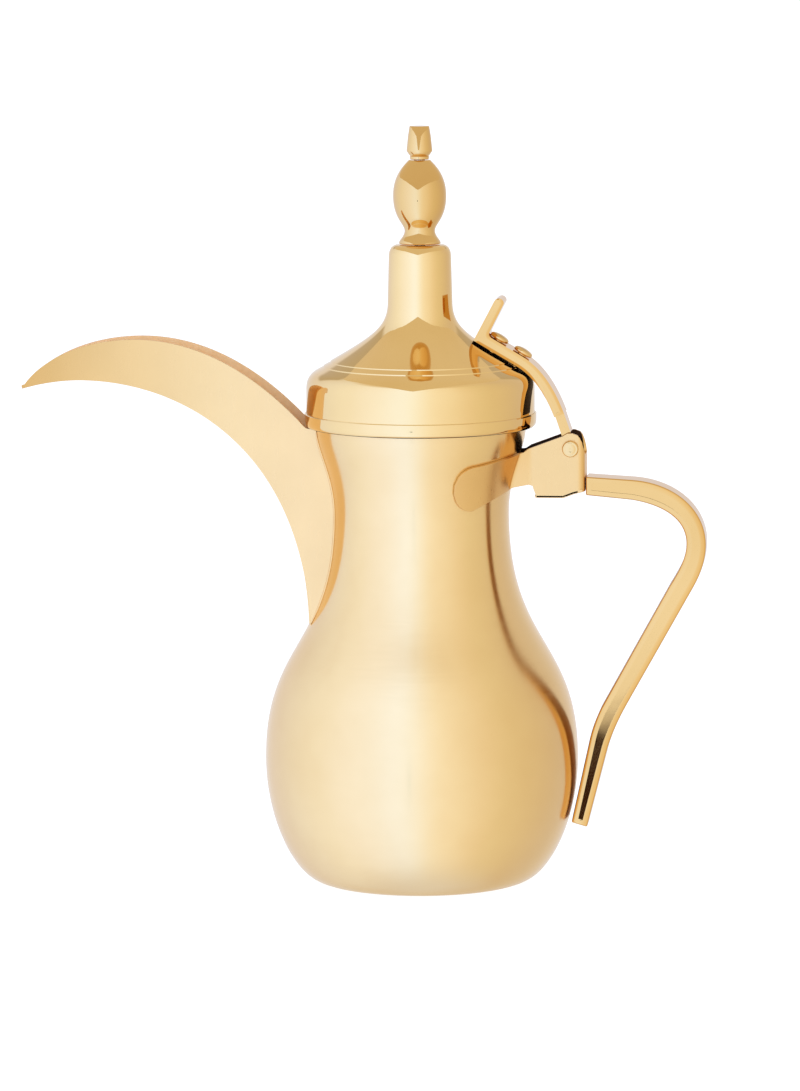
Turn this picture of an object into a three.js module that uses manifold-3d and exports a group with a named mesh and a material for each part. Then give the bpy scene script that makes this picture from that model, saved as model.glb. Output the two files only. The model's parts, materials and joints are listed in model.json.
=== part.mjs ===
// Dallah: a spun sheet-metal coffee pot with a crescent beak, a bar handle and a hinged lid.
// Millimetres, +Z up. The origin is the centre of the base on the table, the handle is at +X
// and the beak at -X. The pot is the same on both sides of the XZ plane.
import * as THREE from 'three';
import { mergeVertices } from 'three/addons/utils/BufferGeometryUtils.js';
import Module from 'manifold-3d';

const wasm = await Module();
wasm.setup();

// ---- driving dimensions ------------------------------------------------------------------

const WALL = 1.0;              // body sheet
const LID_WALL = 0.8;          // lid sheet
const GAP = 0.3;               // between parts that touch
const BEYOND = 40;             // length of a cutting tool that passes right through

const BASE_RADIUS = 40;        // flat of the base
const PLATE_RADIUS = 38;       // disc let into the base
const BELLY_RADIUS = 62.2;
const BELLY_Z = 49;
const WAIST_RADIUS = 34.9;
const WAIST_Z = 147;
const MOUTH_RADIUS = 41.7;
const MOUTH_Z = 181;

const BEAD_HEIGHT = 2.4;       // rolled bead on the mouth
const BEAD_OUTER = 43.3;

const LID_RADIUS = 45.2;
const LID_BOTTOM_Z = 182.4;
const BAND_RADIUS = 45.9;
const BAND_BOTTOM_Z = 181.5;
const BAND_TOP_Z = 186.9;
const LID_TOP_Z = 253.4;
const LID_NECK_RADIUS = 12.8;
const SEAT_OUTER = 44.1;
const FLANGE_RADIUS = 38.2;

const STUD_RADIUS = 2.1;       // threaded rod through the finial
const FINIAL_FOOT_RADIUS = 8.3;
const FINIAL_WAIST_RADIUS = 6.0;
const EGG_RADIUS = 10.7;
const TIP_BOTTOM_Z = 287;
const STUD_TOP_Z = 295.2;
const TOP_Z = 300;

const BEAK_TIP = [-159.2, 195.3];
const BEAK_HALF_WIDTH = 11;    // at the neck
const BEAK_ROOT_X = -39;
const BEAK_SHEET = 1.0;

const PIVOT = [60, 173.6];     // lid hinge, x and z
const PIN_RADIUS = 1.9;
const PIN_HEAD_RADIUS = 3.25;
const BRACKET_HALF = 8.2;      // outer face of a cheek
const BRACKET_SHEET = 1.2;
const BRACKET_BACK_X = 65.6;
const BRACKET_BACK_TOP = 171;

const STRAP_HALF = 7.4;
const TANG_HALF = 6.5;
const TANG_THICK = 3.7;
const EYE_RADIUS = 3.9;
const RIVET_RADIUS = 1.9;
const RIVET_HEAD_RADIUS = 3.9;
const RIVET_HEAD_HEIGHT = 1.9;

const HANDLE_WIDTH = 14;
const HANDLE_EDGE = 1.5;       // rounding of the long edges

const AROUND = 36;             // facets round the large turned pieces
const AROUND_SMALL = 18;       // and round the slim ones

// ---- shaping helpers -----------------------------------------------------------------------

const point = (x, y) => new THREE.Vector2(x, y);

// One closed triangle mesh with shared corners and no empty triangles, facing outwards.
function closed(geometry) {
  geometry.deleteAttribute('normal');
  geometry.deleteAttribute('uv');
  const merged = mergeVertices(geometry, 1e-4);
  const place = merged.attributes.position;
  const corners = [0, 1, 2].map(() => new THREE.Vector3());
  const kept = [];
  let volume = 0;
  for (let i = 0; i < merged.index.count; i += 3) {
    const face = [0, 1, 2].map((k) => merged.index.getX(i + k));
    if (new Set(face).size < 3) continue;
    corners.forEach((corner, k) => corner.fromBufferAttribute(place, face[k]));
    volume += corners[0].dot(corners[1].clone().cross(corners[2]));
    kept.push(face);
  }
  const index = volume < 0 ? kept.map((face) => face.reverse()) : kept;
  merged.setIndex(index.flat());
  return merged;
}

function toSolid(geometry) {
  const mesh = closed(geometry);
  const vertProperties = new Float32Array(mesh.attributes.position.array);
  const triVerts = new Uint32Array(mesh.index.array);
  return new wasm.Manifold(new wasm.Mesh({ numProp: 3, vertProperties, triVerts }));
}

function toGeometry(solid) {
  const mesh = solid.getMesh();
  const geometry = new THREE.BufferGeometry();
  geometry.setAttribute('position', new THREE.BufferAttribute(mesh.vertProperties, 3));
  geometry.setIndex(new THREE.BufferAttribute(mesh.triVerts, 1));
  return geometry;
}

// Turns an outline of (radius, height) points round the Z axis.
function turned(outline, facets = AROUND) {
  const geometry = new THREE.LatheGeometry(outline, facets);
  geometry.rotateX(Math.PI / 2);
  return geometry;
}

// Moves every point of a line sideways by a distance, to the left of its direction.
function shifted(line, distance) {
  return line.map((here, i) => {
    const before = line[Math.max(i - 1, 0)];
    const after = line[Math.min(i + 1, line.length - 1)];
    const along = after.clone().sub(before).normalize();
    return point(here.x - along.y * distance, here.y + along.x * distance);
  });
}

// A closed outline of a bent sheet: the line and its parallel copy.
function sheet(line, thickness) {
  return [...line, ...shifted(line, thickness).reverse(), line[0].clone()];
}

// Extrudes a side-view outline (x, z) across the pot, centred on the XZ plane.
function across(outline, width, edge = 0) {
  const depth = width - 2 * edge;
  const bevel = { bevelSize: edge, bevelThickness: edge, bevelOffset: -edge, bevelSegments: 2 };
  const options = { depth, curveSegments: 6, bevelEnabled: edge > 0, ...bevel };
  const geometry = new THREE.ExtrudeGeometry(outline, options);
  geometry.rotateX(Math.PI / 2);
  geometry.translate(0, depth / 2, 0);
  return geometry;
}

// Extrudes a plan-view outline (x, y) upwards from one height to another.
function upright(outline, from, to) {
  const geometry = new THREE.ExtrudeGeometry(outline, { depth: to - from, bevelEnabled: false });
  geometry.translate(0, 0, from);
  return geometry;
}

// A plain rod along Y, centred on the XZ plane at (x, z).
function crossRod(radius, length, x, z, facets = 16) {
  const geometry = new THREE.CylinderGeometry(radius, radius, length, facets);
  geometry.translate(x, 0, z);
  return geometry;
}

const POLISHED = { color: 0xe3bf7c, roughness: 0.08, metalness: 1 };
const SATIN = { color: 0xeccf98, roughness: 0.35, metalness: 1 };
const STEEL = { color: 0xb8b4aa, roughness: 0.3, metalness: 1 };

function part(name, geometry, finish) {
  const mesh = new THREE.Mesh(closed(geometry), new THREE.MeshStandardMaterial(finish));
  mesh.name = name;
  return mesh;
}

// ---- body -------------------------------------------------------------------------------------

// Half section of the outside: base flat, round corner, belly, waist and flared mouth.
function bodyLine() {
  const path = new THREE.Path();
  path.moveTo(PLATE_RADIUS + GAP, 0);
  path.lineTo(BASE_RADIUS, 0);
  path.bezierCurveTo(BASE_RADIUS + 10, 0, BELLY_RADIUS, 23, BELLY_RADIUS, BELLY_Z);
  path.bezierCurveTo(BELLY_RADIUS, 96, WAIST_RADIUS, 93, WAIST_RADIUS, WAIST_Z);
  path.bezierCurveTo(WAIST_RADIUS, 163, MOUTH_RADIUS, 172.5, MOUTH_RADIUS, MOUTH_Z);
  return path.getPoints(7);
}

// The body filled in and grown by a clearance, which trims the pieces that are fixed to it.
function bodyBlank(clearance) {
  const line = shifted(bodyLine(), -clearance);
  return toSolid(turned([point(0, line[0].y), ...line, point(0, MOUTH_Z)]));
}

// Straining holes through the neck, behind the beak: rows of two and one in turn.
function strainerHoles() {
  const holeRadius = 2;
  const sideways = 4.5;
  const rows = 7;
  const rowPitch = 8.5;
  const lowest = 115;
  const drillLength = 30;
  const holes = [];
  for (let row = 0; row < rows; row += 1) {
    const places = row % 2 === 0 ? [0] : [-sideways, sideways];
    for (const y of places) {
      const drill = new THREE.CylinderGeometry(holeRadius, holeRadius, drillLength, 8);
      drill.rotateZ(Math.PI / 2);
      drill.translate(-WAIST_RADIUS, y, lowest + row * rowPitch);
      holes.push(toSolid(drill));
    }
  }
  return holes;
}

function bodyShell() {
  let shell = toSolid(turned(sheet(bodyLine(), WALL)));
  for (const hole of strainerHoles()) shell = shell.subtract(hole);
  return toGeometry(shell);
}

function basePlate() {
  const thick = 1.2;
  return turned([point(0, 0), point(PLATE_RADIUS, 0), point(PLATE_RADIUS, thick), point(0, thick)]);
}

// A ring of round-cornered section on top of the neck sheet.
function mouthBead() {
  const low = MOUTH_Z + GAP;
  const inner = MOUTH_RADIUS - WALL;
  const corner = 0.9;
  const section = new THREE.Path();
  section.moveTo(inner, low);
  section.lineTo(BEAD_OUTER - corner, low);
  section.absarc(BEAD_OUTER - corner, low + corner, corner, -Math.PI / 2, 0);
  section.absarc(BEAD_OUTER - corner, low + BEAD_HEIGHT - corner, corner, 0, Math.PI / 2);
  section.lineTo(inner, low + BEAD_HEIGHT);
  section.closePath();
  return turned(section.getPoints(2));
}

// ---- beak -------------------------------------------------------------------------------------

// Half the width of the beak: full at the neck, closing to the tip like a boat's bow.
function beakHalf(x) {
  const run = (BEAK_ROOT_X - x) / (BEAK_ROOT_X - BEAK_TIP[0] + 1);
  const clipped = Math.min(Math.max(run, 0), 1);
  return BEAK_HALF_WIDTH * Math.sqrt(1 - clipped * clipped);
}

// The upper edge, from the tip over the crest and down to the mouth band.
function beakTopEdge(path) {
  path.moveTo(...BEAK_TIP);
  path.bezierCurveTo(-153.2, 205.4, -136, 215.9, -112, 215.9);
  path.bezierCurveTo(-85, 215.9, -62, 200.5, -47.2, 181.4);
}

// The lower edge, from the foot of the beak back to the tip.
function beakLowerEdge(path) {
  path.bezierCurveTo(-46, 172, -92, 199.4, -134, 199.4);
  path.bezierCurveTo(-143, 199.4, -152, 197.6, ...BEAK_TIP);
}

function beakSide(side) {
  const outline = new THREE.Shape();
  beakTopEdge(outline);
  outline.lineTo(-36, 180.4);
  outline.lineTo(-28, 150);
  outline.lineTo(-36, 103);
  outline.lineTo(-44.5, 103);
  beakLowerEdge(outline);
  const geometry = new THREE.ExtrudeGeometry(outline, {
    depth: BEAK_SHEET, curveSegments: 12, bevelEnabled: false,
  });
  geometry.rotateX(Math.PI / 2);
  const place = geometry.attributes.position;
  for (let i = 0; i < place.count; i += 1) {
    const outside = place.getY(i) < -BEAK_SHEET / 2;
    const half = beakHalf(place.getX(i)) - (outside ? 0 : BEAK_SHEET);
    place.setY(i, side * half);
  }
  return toGeometry(toSolid(geometry).subtract(bodyBlank(GAP)));
}

// The strip that closes the beak underneath, between its two sides.
function beakKeel() {
  const path = new THREE.Path();
  path.moveTo(-44.5, 103);
  beakLowerEdge(path);
  const endX = -146;
  const line = path.getPoints(12).filter((at) => at.x > endX);
  const outline = new THREE.Shape(sheet(line, -BEAK_SHEET).slice(0, -1));
  const geometry = across(outline, 1);
  const place = geometry.attributes.position;
  for (let i = 0; i < place.count; i += 1) {
    const half = beakHalf(place.getX(i)) - BEAK_SHEET - 2.5 * GAP;
    place.setY(i, Math.sign(place.getY(i)) * half);
  }
  return toGeometry(toSolid(geometry).subtract(bodyBlank(GAP)));
}

// ---- hinge bracket, pin and handle --------------------------------------------------------------

// Side view of the cheeks: sloping top edge, round end about the pivot and a stepped bottom.
function cheekOutline() {
  const outline = new THREE.Shape();
  const round = BRACKET_BACK_X - PIVOT[0] + 0.2;
  outline.moveTo(34, 156.2);
  outline.lineTo(42.1, 159.6);
  outline.lineTo(45.1, 158.7);
  outline.lineTo(46.1, 154);
  outline.lineTo(57.2, 154);
  outline.lineTo(61.1, 155.5);
  outline.lineTo(BRACKET_BACK_X, 156.6);
  outline.lineTo(BRACKET_BACK_X, PIVOT[1]);
  outline.absarc(BRACKET_BACK_X - round, PIVOT[1], round, 0, Math.PI * 0.6);
  outline.lineTo(34, 170.1);
  outline.closePath();
  return outline;
}

// Plan view of the folded sheet: two cheeks, the back across them and splayed front edges.
function foldOutline() {
  const inside = BRACKET_HALF - BRACKET_SHEET;
  const half = [
    [34, BRACKET_HALF + 2.4],
    [44, BRACKET_HALF],
    [BRACKET_BACK_X, BRACKET_HALF],
  ];
  const innerHalf = [
    [BRACKET_BACK_X - BRACKET_SHEET, inside],
    [43.8, inside],
    [34, inside + 2.4],
  ];
  const mirrored = (list) => list.map(([x, y]) => [x, -y]).reverse();
  const outline = [...half, ...mirrored(half), ...mirrored(innerHalf), ...innerHalf];
  return new THREE.Shape(outline.map(([x, y]) => point(x, y)));
}

// Side view of the arms that wrap the neck, with their round ends.
function armOutline() {
  const outline = new THREE.Shape();
  outline.moveTo(39.5, 172);
  outline.lineTo(24.3, 169);
  outline.absellipse(24.3, 160, 7.6, 9, Math.PI / 2, Math.PI * 1.5);
  outline.lineTo(39.5, 158.3);
  outline.closePath();
  return outline;
}

// The turned-in bottom of the bracket.
function bracketFloor() {
  const line = [point(46.1, 154), point(57.2, 154), point(61.1, 155.5), point(65, 156.45)];
  return across(new THREE.Shape(sheet(line, BRACKET_SHEET).slice(0, -1)), 2 * BRACKET_HALF);
}

function hingeBracket() {
  const cheeks = toSolid(upright(foldOutline(), MOUTH_Z - BEYOND, MOUTH_Z + BEYOND))
    .intersect(toSolid(across(cheekOutline(), BEYOND)));
  const wrap = bodyBlank(GAP + BRACKET_SHEET)
    .intersect(toSolid(across(armOutline(), 3 * BEYOND)));
  const between = 2 * (BRACKET_HALF - BRACKET_SHEET);
  const slot = new THREE.BoxGeometry(2 * BEYOND, between, BEYOND);
  slot.translate(BEYOND, 0, PIVOT[1]);
  const headroom = new THREE.BoxGeometry(8, between, BEYOND);
  headroom.translate(BRACKET_BACK_X, 0, BRACKET_BACK_TOP + BEYOND / 2);
  const bore = crossRod(PIN_RADIUS + GAP, BEYOND, ...PIVOT);
  const bracket = cheeks.add(wrap.subtract(toSolid(slot)))
    .add(toSolid(bracketFloor()))
    .subtract(bodyBlank(GAP))
    .subtract(toSolid(headroom))
    .subtract(toSolid(bore));
  return toGeometry(bracket);
}

// A rivet along Y with a low domed head outside each cheek.
function hingePin() {
  const face = BRACKET_HALF + GAP;
  const crown = face + 1.9;
  const outline = [
    point(0, -crown), point(PIN_HEAD_RADIUS * 0.6, -crown + 0.3), point(PIN_HEAD_RADIUS, -crown + 1.1),
    point(PIN_HEAD_RADIUS, -face), point(PIN_RADIUS, -face), point(PIN_RADIUS, face),
    point(PIN_HEAD_RADIUS, face), point(PIN_HEAD_RADIUS, crown - 1.1),
    point(PIN_HEAD_RADIUS * 0.6, crown - 0.3), point(0, crown),
  ];
  const geometry = new THREE.LatheGeometry(outline, 16);
  geometry.translate(PIVOT[0], 0, PIVOT[1]);
  return geometry;
}

// A flat bar bent like a 7, thicker at the grip and cut square at its free foot.
function handleBar() {
  const start = BRACKET_BACK_X + GAP;
  const outline = new THREE.Shape();
  outline.moveTo(start, 162.3);
  outline.lineTo(84, 161.2);
  outline.bezierCurveTo(101, 160.2, 113.3, 149.5, 113.3, 135.5);
  outline.bezierCurveTo(113.3, 130, 111.5, 124.4, 108.4, 118.8);
  outline.lineTo(82.6, 72.6);
  outline.bezierCurveTo(78.8, 65.8, 76.3, 60, 74.6, 54.4);
  outline.lineTo(66.3, 22.2);
  outline.lineTo(60.1, 24);
  outline.lineTo(67.4, 57.5);
  outline.bezierCurveTo(68.3, 61.5, 69.8, 65.8, 72, 70.2);
  outline.lineTo(99, 119.2);
  outline.bezierCurveTo(103.2, 126, 105.6, 130.8, 105.6, 136);
  outline.bezierCurveTo(105.6, 145.5, 97, 151.2, 84, 153.3);
  outline.lineTo(start, 155);
  outline.closePath();
  return across(outline, HANDLE_WIDTH, HANDLE_EDGE);
}

// ---- lid ----------------------------------------------------------------------------------------

// Half section of the lid's outside, from the hole for the stud down to the skirt.
function lidLine() {
  const path = new THREE.Path();
  path.moveTo(STUD_RADIUS + GAP, LID_TOP_Z);
  path.lineTo(8.6, LID_TOP_Z);
  path.bezierCurveTo(11, LID_TOP_Z, 12.1, 251.6, 12.3, 249.4);
  path.lineTo(LID_NECK_RADIUS, 231);
  path.bezierCurveTo(LID_NECK_RADIUS, 221, 18, 217.6, 38, 205.9);
  path.lineTo(38.6, 204.9);
  path.lineTo(41.2, 203.6);
  path.bezierCurveTo(43.6, 202.4, LID_RADIUS, 200.3, LID_RADIUS, 196.5);
  path.lineTo(LID_RADIUS, LID_BOTTOM_Z);
  return path.getPoints(5);
}

// Two rivets stand square to the straight of the strap, where it lies on the lid.
const STRAP_DOWN = new THREE.Vector2(0.861, -0.508);
const STRAP_OUT = new THREE.Vector2(0.508, 0.861);
const STRAP_TOP = point(24.3, 220);
const RIVET_STATIONS = [8, 18.8];
const TILT = Math.atan2(STRAP_OUT.x, STRAP_OUT.y);

// Stands a turned outline on the strap's top face; its own height 0 is that face.
function onStrap(outline, station) {
  const foot = STRAP_TOP.clone().addScaledVector(STRAP_DOWN, station);
  const geometry = turned(outline, 16);
  geometry.rotateY(TILT);
  geometry.translate(foot.x, 0, foot.y);
  return geometry;
}

function rivetHole(station) {
  const radius = RIVET_RADIUS + GAP;
  const low = -12;
  const high = 6;
  return toSolid(onStrap([point(0, low), point(radius, low), point(radius, high), point(0, high)], station));
}

function lidShell() {
  let shell = toSolid(turned(sheet(lidLine(), -LID_WALL)));
  for (const station of RIVET_STATIONS) shell = shell.subtract(rivetHole(station));
  return toGeometry(shell);
}

// The rolled band round the skirt; its lower edge turns in under the sheet.
function lidBand() {
  const inner = LID_RADIUS + GAP;
  const section = new THREE.Path();
  section.moveTo(inner, BAND_TOP_Z);
  section.lineTo(inner, LID_BOTTOM_Z - GAP);
  section.lineTo(LID_RADIUS - LID_WALL, LID_BOTTOM_Z - GAP);
  section.lineTo(LID_RADIUS - LID_WALL, BAND_BOTTOM_Z);
  section.bezierCurveTo(LID_RADIUS, BAND_BOTTOM_Z, BAND_RADIUS, 182.2, BAND_RADIUS, 184);
  section.lineTo(BAND_RADIUS, BAND_TOP_Z - 0.2);
  section.closePath();
  return turned(section.getPoints(3));
}

// The pressed ring inside the skirt: it seats on the mouth bead and dips into the neck.
function lidSeat() {
  const seat = MOUTH_Z + GAP + BEAD_HEIGHT + GAP;
  const sheetTop = seat + LID_WALL;
  const inner = FLANGE_RADIUS - LID_WALL;
  const dip = 179.6;
  return turned([
    point(inner, dip), point(FLANGE_RADIUS, dip), point(FLANGE_RADIUS, seat),
    point(SEAT_OUTER, seat), point(SEAT_OUTER, sheetTop), point(inner, sheetTop), point(inner, dip),
  ]);
}

function finialBody() {
  const bore = STUD_RADIUS + GAP;
  const foot = LID_TOP_Z + GAP;
  const path = new THREE.Path();
  path.moveTo(bore, foot);
  path.lineTo(FINIAL_FOOT_RADIUS, foot);
  path.bezierCurveTo(8.2, 255.2, FINIAL_WAIST_RADIUS, 256.6, FINIAL_WAIST_RADIUS, 258.8);
  path.bezierCurveTo(FINIAL_WAIST_RADIUS, 261.4, EGG_RADIUS, 263.6, EGG_RADIUS, 272.6);
  path.bezierCurveTo(EGG_RADIUS, 280, 7, 284, 4.2, TIP_BOTTOM_Z - GAP);
  path.lineTo(bore, TIP_BOTTOM_Z - GAP);
  path.closePath();
  return turned(path.getPoints(5), AROUND_SMALL);
}

// The cap that screws on the end of the stud and holds the finial down.
function finialTip() {
  const bore = STUD_RADIUS + GAP;
  const boreEnd = STUD_TOP_Z + GAP;
  const path = new THREE.Path();
  path.moveTo(bore, TIP_BOTTOM_Z);
  path.lineTo(4.1, TIP_BOTTOM_Z);
  path.bezierCurveTo(4.2, 288, 5.1, 288.2, 5.15, 289.6);
  path.bezierCurveTo(5.2, 292.5, 4.6, 296.5, 4.1, 299.2);
  path.lineTo(3.4, TOP_Z);
  path.lineTo(0, TOP_Z);
  path.lineTo(0, boreEnd);
  path.lineTo(bore, boreEnd);
  path.closePath();
  return turned(path.getPoints(3), AROUND_SMALL);
}

// Under the lid's top the stud holds a washer and a nut.
const WASHER_TOP_Z = LID_TOP_Z - LID_WALL - GAP;
const WASHER_THICK = 0.8;
const NUT_TOP_Z = WASHER_TOP_Z - WASHER_THICK - GAP;
const NUT_HEIGHT = 3.2;

function finialStud() {
  const thread = 1.4;          // what shows below the nut
  const low = NUT_TOP_Z - NUT_HEIGHT - thread;
  return turned([
    point(0, low), point(STUD_RADIUS, low), point(STUD_RADIUS, STUD_TOP_Z), point(0, STUD_TOP_Z),
  ], 12);
}

function finialWasher() {
  const inner = STUD_RADIUS + GAP;
  const outer = 5.2;
  const low = WASHER_TOP_Z - WASHER_THICK;
  return turned([
    point(inner, low), point(outer, low), point(outer, WASHER_TOP_Z), point(inner, WASHER_TOP_Z),
    point(inner, low),
  ], AROUND_SMALL);
}

function finialNut() {
  const corner = 4;
  const bore = STUD_RADIUS + GAP;
  const low = NUT_TOP_Z - NUT_HEIGHT;
  const block = [point(0, low), point(corner, low), point(corner, NUT_TOP_Z), point(0, NUT_TOP_Z)];
  const drill = new THREE.CylinderGeometry(bore, bore, BEYOND, 12);
  drill.rotateX(Math.PI / 2);
  drill.translate(0, 0, NUT_TOP_Z);
  return toGeometry(toSolid(turned(block, 6)).subtract(toSolid(drill)));
}

// ---- lid lever ------------------------------------------------------------------------------------

// Side view of the strap: thumb tab, sharp bend, straight on the lid and a curve to the tang.
function strapOutline() {
  const outline = new THREE.Shape();
  outline.moveTo(21.7, 216.1);
  outline.lineTo(30.2, 232);
  outline.lineTo(31.6, 232.9);
  outline.lineTo(33.4, 231.9);
  outline.lineTo(33.8, 230.5);
  outline.lineTo(27.9, 218.6);
  outline.lineTo(28.2, 217.4);
  outline.lineTo(41.4, 209.6);
  outline.bezierCurveTo(48.2, 205.4, 53.4, 198, 57.4, 187.4);
  outline.lineTo(53.5, 185.9);
  outline.bezierCurveTo(50.2, 194.6, 45.4, 201.8, 39.4, 205.6);
  outline.lineTo(23, 215.3);
  outline.closePath();
  return outline;
}

// The narrower end of the strap, which runs down between the cheeks to the pin.
function tangOutline() {
  const outline = new THREE.Shape();
  const top = point(54.9, 188.6);
  const run = point(PIVOT[0], PIVOT[1]).sub(top);
  const turn = run.angle();
  const side = point(-Math.sin(turn), Math.cos(turn)).multiplyScalar(TANG_THICK / 2);
  outline.moveTo(top.x + side.x, top.y + side.y);
  outline.lineTo(top.x - side.x, top.y - side.y);
  outline.absarc(PIVOT[0], PIVOT[1], EYE_RADIUS, turn - Math.PI * 0.84, turn + Math.PI * 0.84);
  outline.closePath();
  return outline;
}

function lidLever() {
  let lever = toSolid(across(strapOutline(), 2 * STRAP_HALF, 0.5))
    .add(toSolid(across(tangOutline(), 2 * TANG_HALF)))
    .subtract(toSolid(crossRod(PIN_RADIUS + GAP, BEYOND, ...PIVOT)));
  for (const station of RIVET_STATIONS) lever = lever.subtract(rivetHole(station));
  return toGeometry(lever);
}

// A cylindrical rivet head with a low dome; its shank ends inside the lid.
function leverRivet(station) {
  const shankEnd = -8.6;
  const outline = new THREE.Path();
  outline.moveTo(0, shankEnd);
  outline.lineTo(RIVET_RADIUS, shankEnd);
  outline.lineTo(RIVET_RADIUS, GAP);
  outline.lineTo(RIVET_HEAD_RADIUS, GAP);
  outline.lineTo(RIVET_HEAD_RADIUS, GAP + 0.9);
  outline.quadraticCurveTo(RIVET_HEAD_RADIUS * 0.6, RIVET_HEAD_HEIGHT + GAP, 0, RIVET_HEAD_HEIGHT + GAP);
  return onStrap(outline.getPoints(4), station);
}

// The washer that the rivet is closed over, inside the lid.
function rivetBurr(station) {
  const inner = RIVET_RADIUS + GAP;
  const outer = 3;
  const top = -7;
  const low = top - 1;
  return onStrap([
    point(inner, low), point(outer, low), point(outer, top), point(inner, top), point(inner, low),
  ], station);
}

// ---- assembly -----------------------------------------------------------------------------------------

const pot = new THREE.Group();
pot.add(
  part('body_shell', bodyShell(), POLISHED),
  part('base_plate', basePlate(), POLISHED),
  part('mouth_bead', mouthBead(), POLISHED),
  part('beak_side_near', beakSide(-1), SATIN),
  part('beak_side_far', beakSide(1), SATIN),
  part('beak_keel', beakKeel(), SATIN),
  part('hinge_bracket', hingeBracket(), SATIN),
  part('hinge_pin', hingePin(), POLISHED),
  part('handle_bar', handleBar(), POLISHED),
);

const lid = new THREE.Group();
lid.add(
  part('lid_shell', lidShell(), POLISHED),
  part('lid_band', lidBand(), POLISHED),
  part('lid_seat_ring', lidSeat(), POLISHED),
  part('lid_lever', lidLever(), POLISHED),
  part('lever_rivet_front', leverRivet(RIVET_STATIONS[0]), POLISHED),
  part('lever_rivet_rear', leverRivet(RIVET_STATIONS[1]), POLISHED),
  part('rivet_burr_front', rivetBurr(RIVET_STATIONS[0]), STEEL),
  part('rivet_burr_rear', rivetBurr(RIVET_STATIONS[1]), STEEL),
  part('finial_body', finialBody(), POLISHED),
  part('finial_tip', finialTip(), POLISHED),
  part('finial_stud', finialStud(), STEEL),
  part('finial_washer', finialWasher(), STEEL),
  part('finial_nut', finialNut(), STEEL),
);

const dallah = new THREE.Group();
dallah.add(pot, lid);
export default dallah;
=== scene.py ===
# %% [markdown]
# # A dallah, the coffee pot with a crescent beak
#
# The CAD model already holds every part at its true size and place. This lesson gives each part
# the fine surface that the eye expects: smooth spun shells, a beak of bent plate, folded sheet at
# the hinge and two gold-coloured finishes. Nothing here moves or resizes the CAD parts: a fine
# piece is built where the CAD part is, and then stands for it.

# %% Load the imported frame
import json
import math

import bpy
from mathutils import Matrix, Vector


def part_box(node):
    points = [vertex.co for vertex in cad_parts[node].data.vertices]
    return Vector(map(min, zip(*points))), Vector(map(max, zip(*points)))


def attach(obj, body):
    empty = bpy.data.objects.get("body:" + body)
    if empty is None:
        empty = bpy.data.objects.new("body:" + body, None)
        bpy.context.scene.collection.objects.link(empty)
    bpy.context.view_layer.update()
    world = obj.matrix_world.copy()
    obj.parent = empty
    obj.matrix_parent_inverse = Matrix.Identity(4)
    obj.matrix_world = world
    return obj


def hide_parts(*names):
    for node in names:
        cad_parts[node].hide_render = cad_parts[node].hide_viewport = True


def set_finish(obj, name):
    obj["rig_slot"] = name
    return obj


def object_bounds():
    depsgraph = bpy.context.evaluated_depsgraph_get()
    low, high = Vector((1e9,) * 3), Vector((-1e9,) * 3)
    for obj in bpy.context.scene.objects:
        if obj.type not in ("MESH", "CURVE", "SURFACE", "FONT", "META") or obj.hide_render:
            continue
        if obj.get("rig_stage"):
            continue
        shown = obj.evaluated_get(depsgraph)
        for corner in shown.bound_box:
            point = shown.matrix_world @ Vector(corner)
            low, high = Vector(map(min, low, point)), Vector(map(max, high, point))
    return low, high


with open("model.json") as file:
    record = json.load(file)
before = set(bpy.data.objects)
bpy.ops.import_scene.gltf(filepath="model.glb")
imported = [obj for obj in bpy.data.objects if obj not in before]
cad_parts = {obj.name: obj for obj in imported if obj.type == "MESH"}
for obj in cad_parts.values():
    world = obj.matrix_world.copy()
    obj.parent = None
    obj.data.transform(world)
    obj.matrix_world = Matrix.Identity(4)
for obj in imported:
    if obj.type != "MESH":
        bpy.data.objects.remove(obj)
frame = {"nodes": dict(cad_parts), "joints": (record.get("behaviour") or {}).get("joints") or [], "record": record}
bpy.context.view_layer.update()

# %% [markdown]
# ## Units and the sizes that the frame gives
#
# Outlines are written in millimetres, as on a workshop drawing, and turned into metres when a mesh
# is made. The big sizes are read from the CAD boxes, so the fine pieces follow the CAD model.

# %% Driving sizes in millimetres
MM = 0.001


def span(node, axis):
    """Lowest and highest value of a CAD node along one axis, in mm."""
    low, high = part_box(node)
    return low[axis] / MM, high[axis] / MM


BELLY = span("body_shell", 0)[1]
MOUTH_Z = span("body_shell", 2)[1]
PLATE = span("base_plate", 0)[1]
BEAK_TIP_X = span("beak_side_near", 0)[0]
BEAK_HALF = span("beak_side_far", 1)[1]
BEAK_FOOT_Z = span("beak_side_near", 2)[0]
LID_RADIUS = span("lid_shell", 0)[1]
LID_LOW, LID_TOP = span("lid_shell", 2)
BAND_RADIUS = span("lid_band", 0)[1]
BAND_LOW, BAND_TOP = span("lid_band", 2)
BRACKET_BACK = span("hinge_bracket", 0)[1]
STRAP_HALF = span("lid_lever", 1)[1]
HANDLE_HALF = span("handle_bar", 1)[1]
FINIAL_LOW, FINIAL_HIGH = span("finial_body", 2)
EGG = span("finial_body", 0)[1]
TIP_LOW, TOP = span("finial_tip", 2)
hinge = frame["joints"][0]
PIVOT_X, PIVOT_Z = hinge["pos_m"][0] / MM, hinge["pos_m"][2] / MM
print(f"belly {BELLY:.1f}, mouth at {MOUTH_Z:.1f}, lid {LID_RADIUS:.1f}, top {TOP:.1f} mm")
print(f"hinge at x {PIVOT_X:.1f}, z {PIVOT_Z:.1f} mm")

# %% [markdown]
# ## Working habits
#
# An edit-mode operator acts on everything that is selected, so each piece starts from an empty
# selection. A small set of helpers then does what a hand does again and again: finish a modifier,
# smooth the surface between crisp edges, and sign the piece off onto the body it belongs to.

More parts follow.
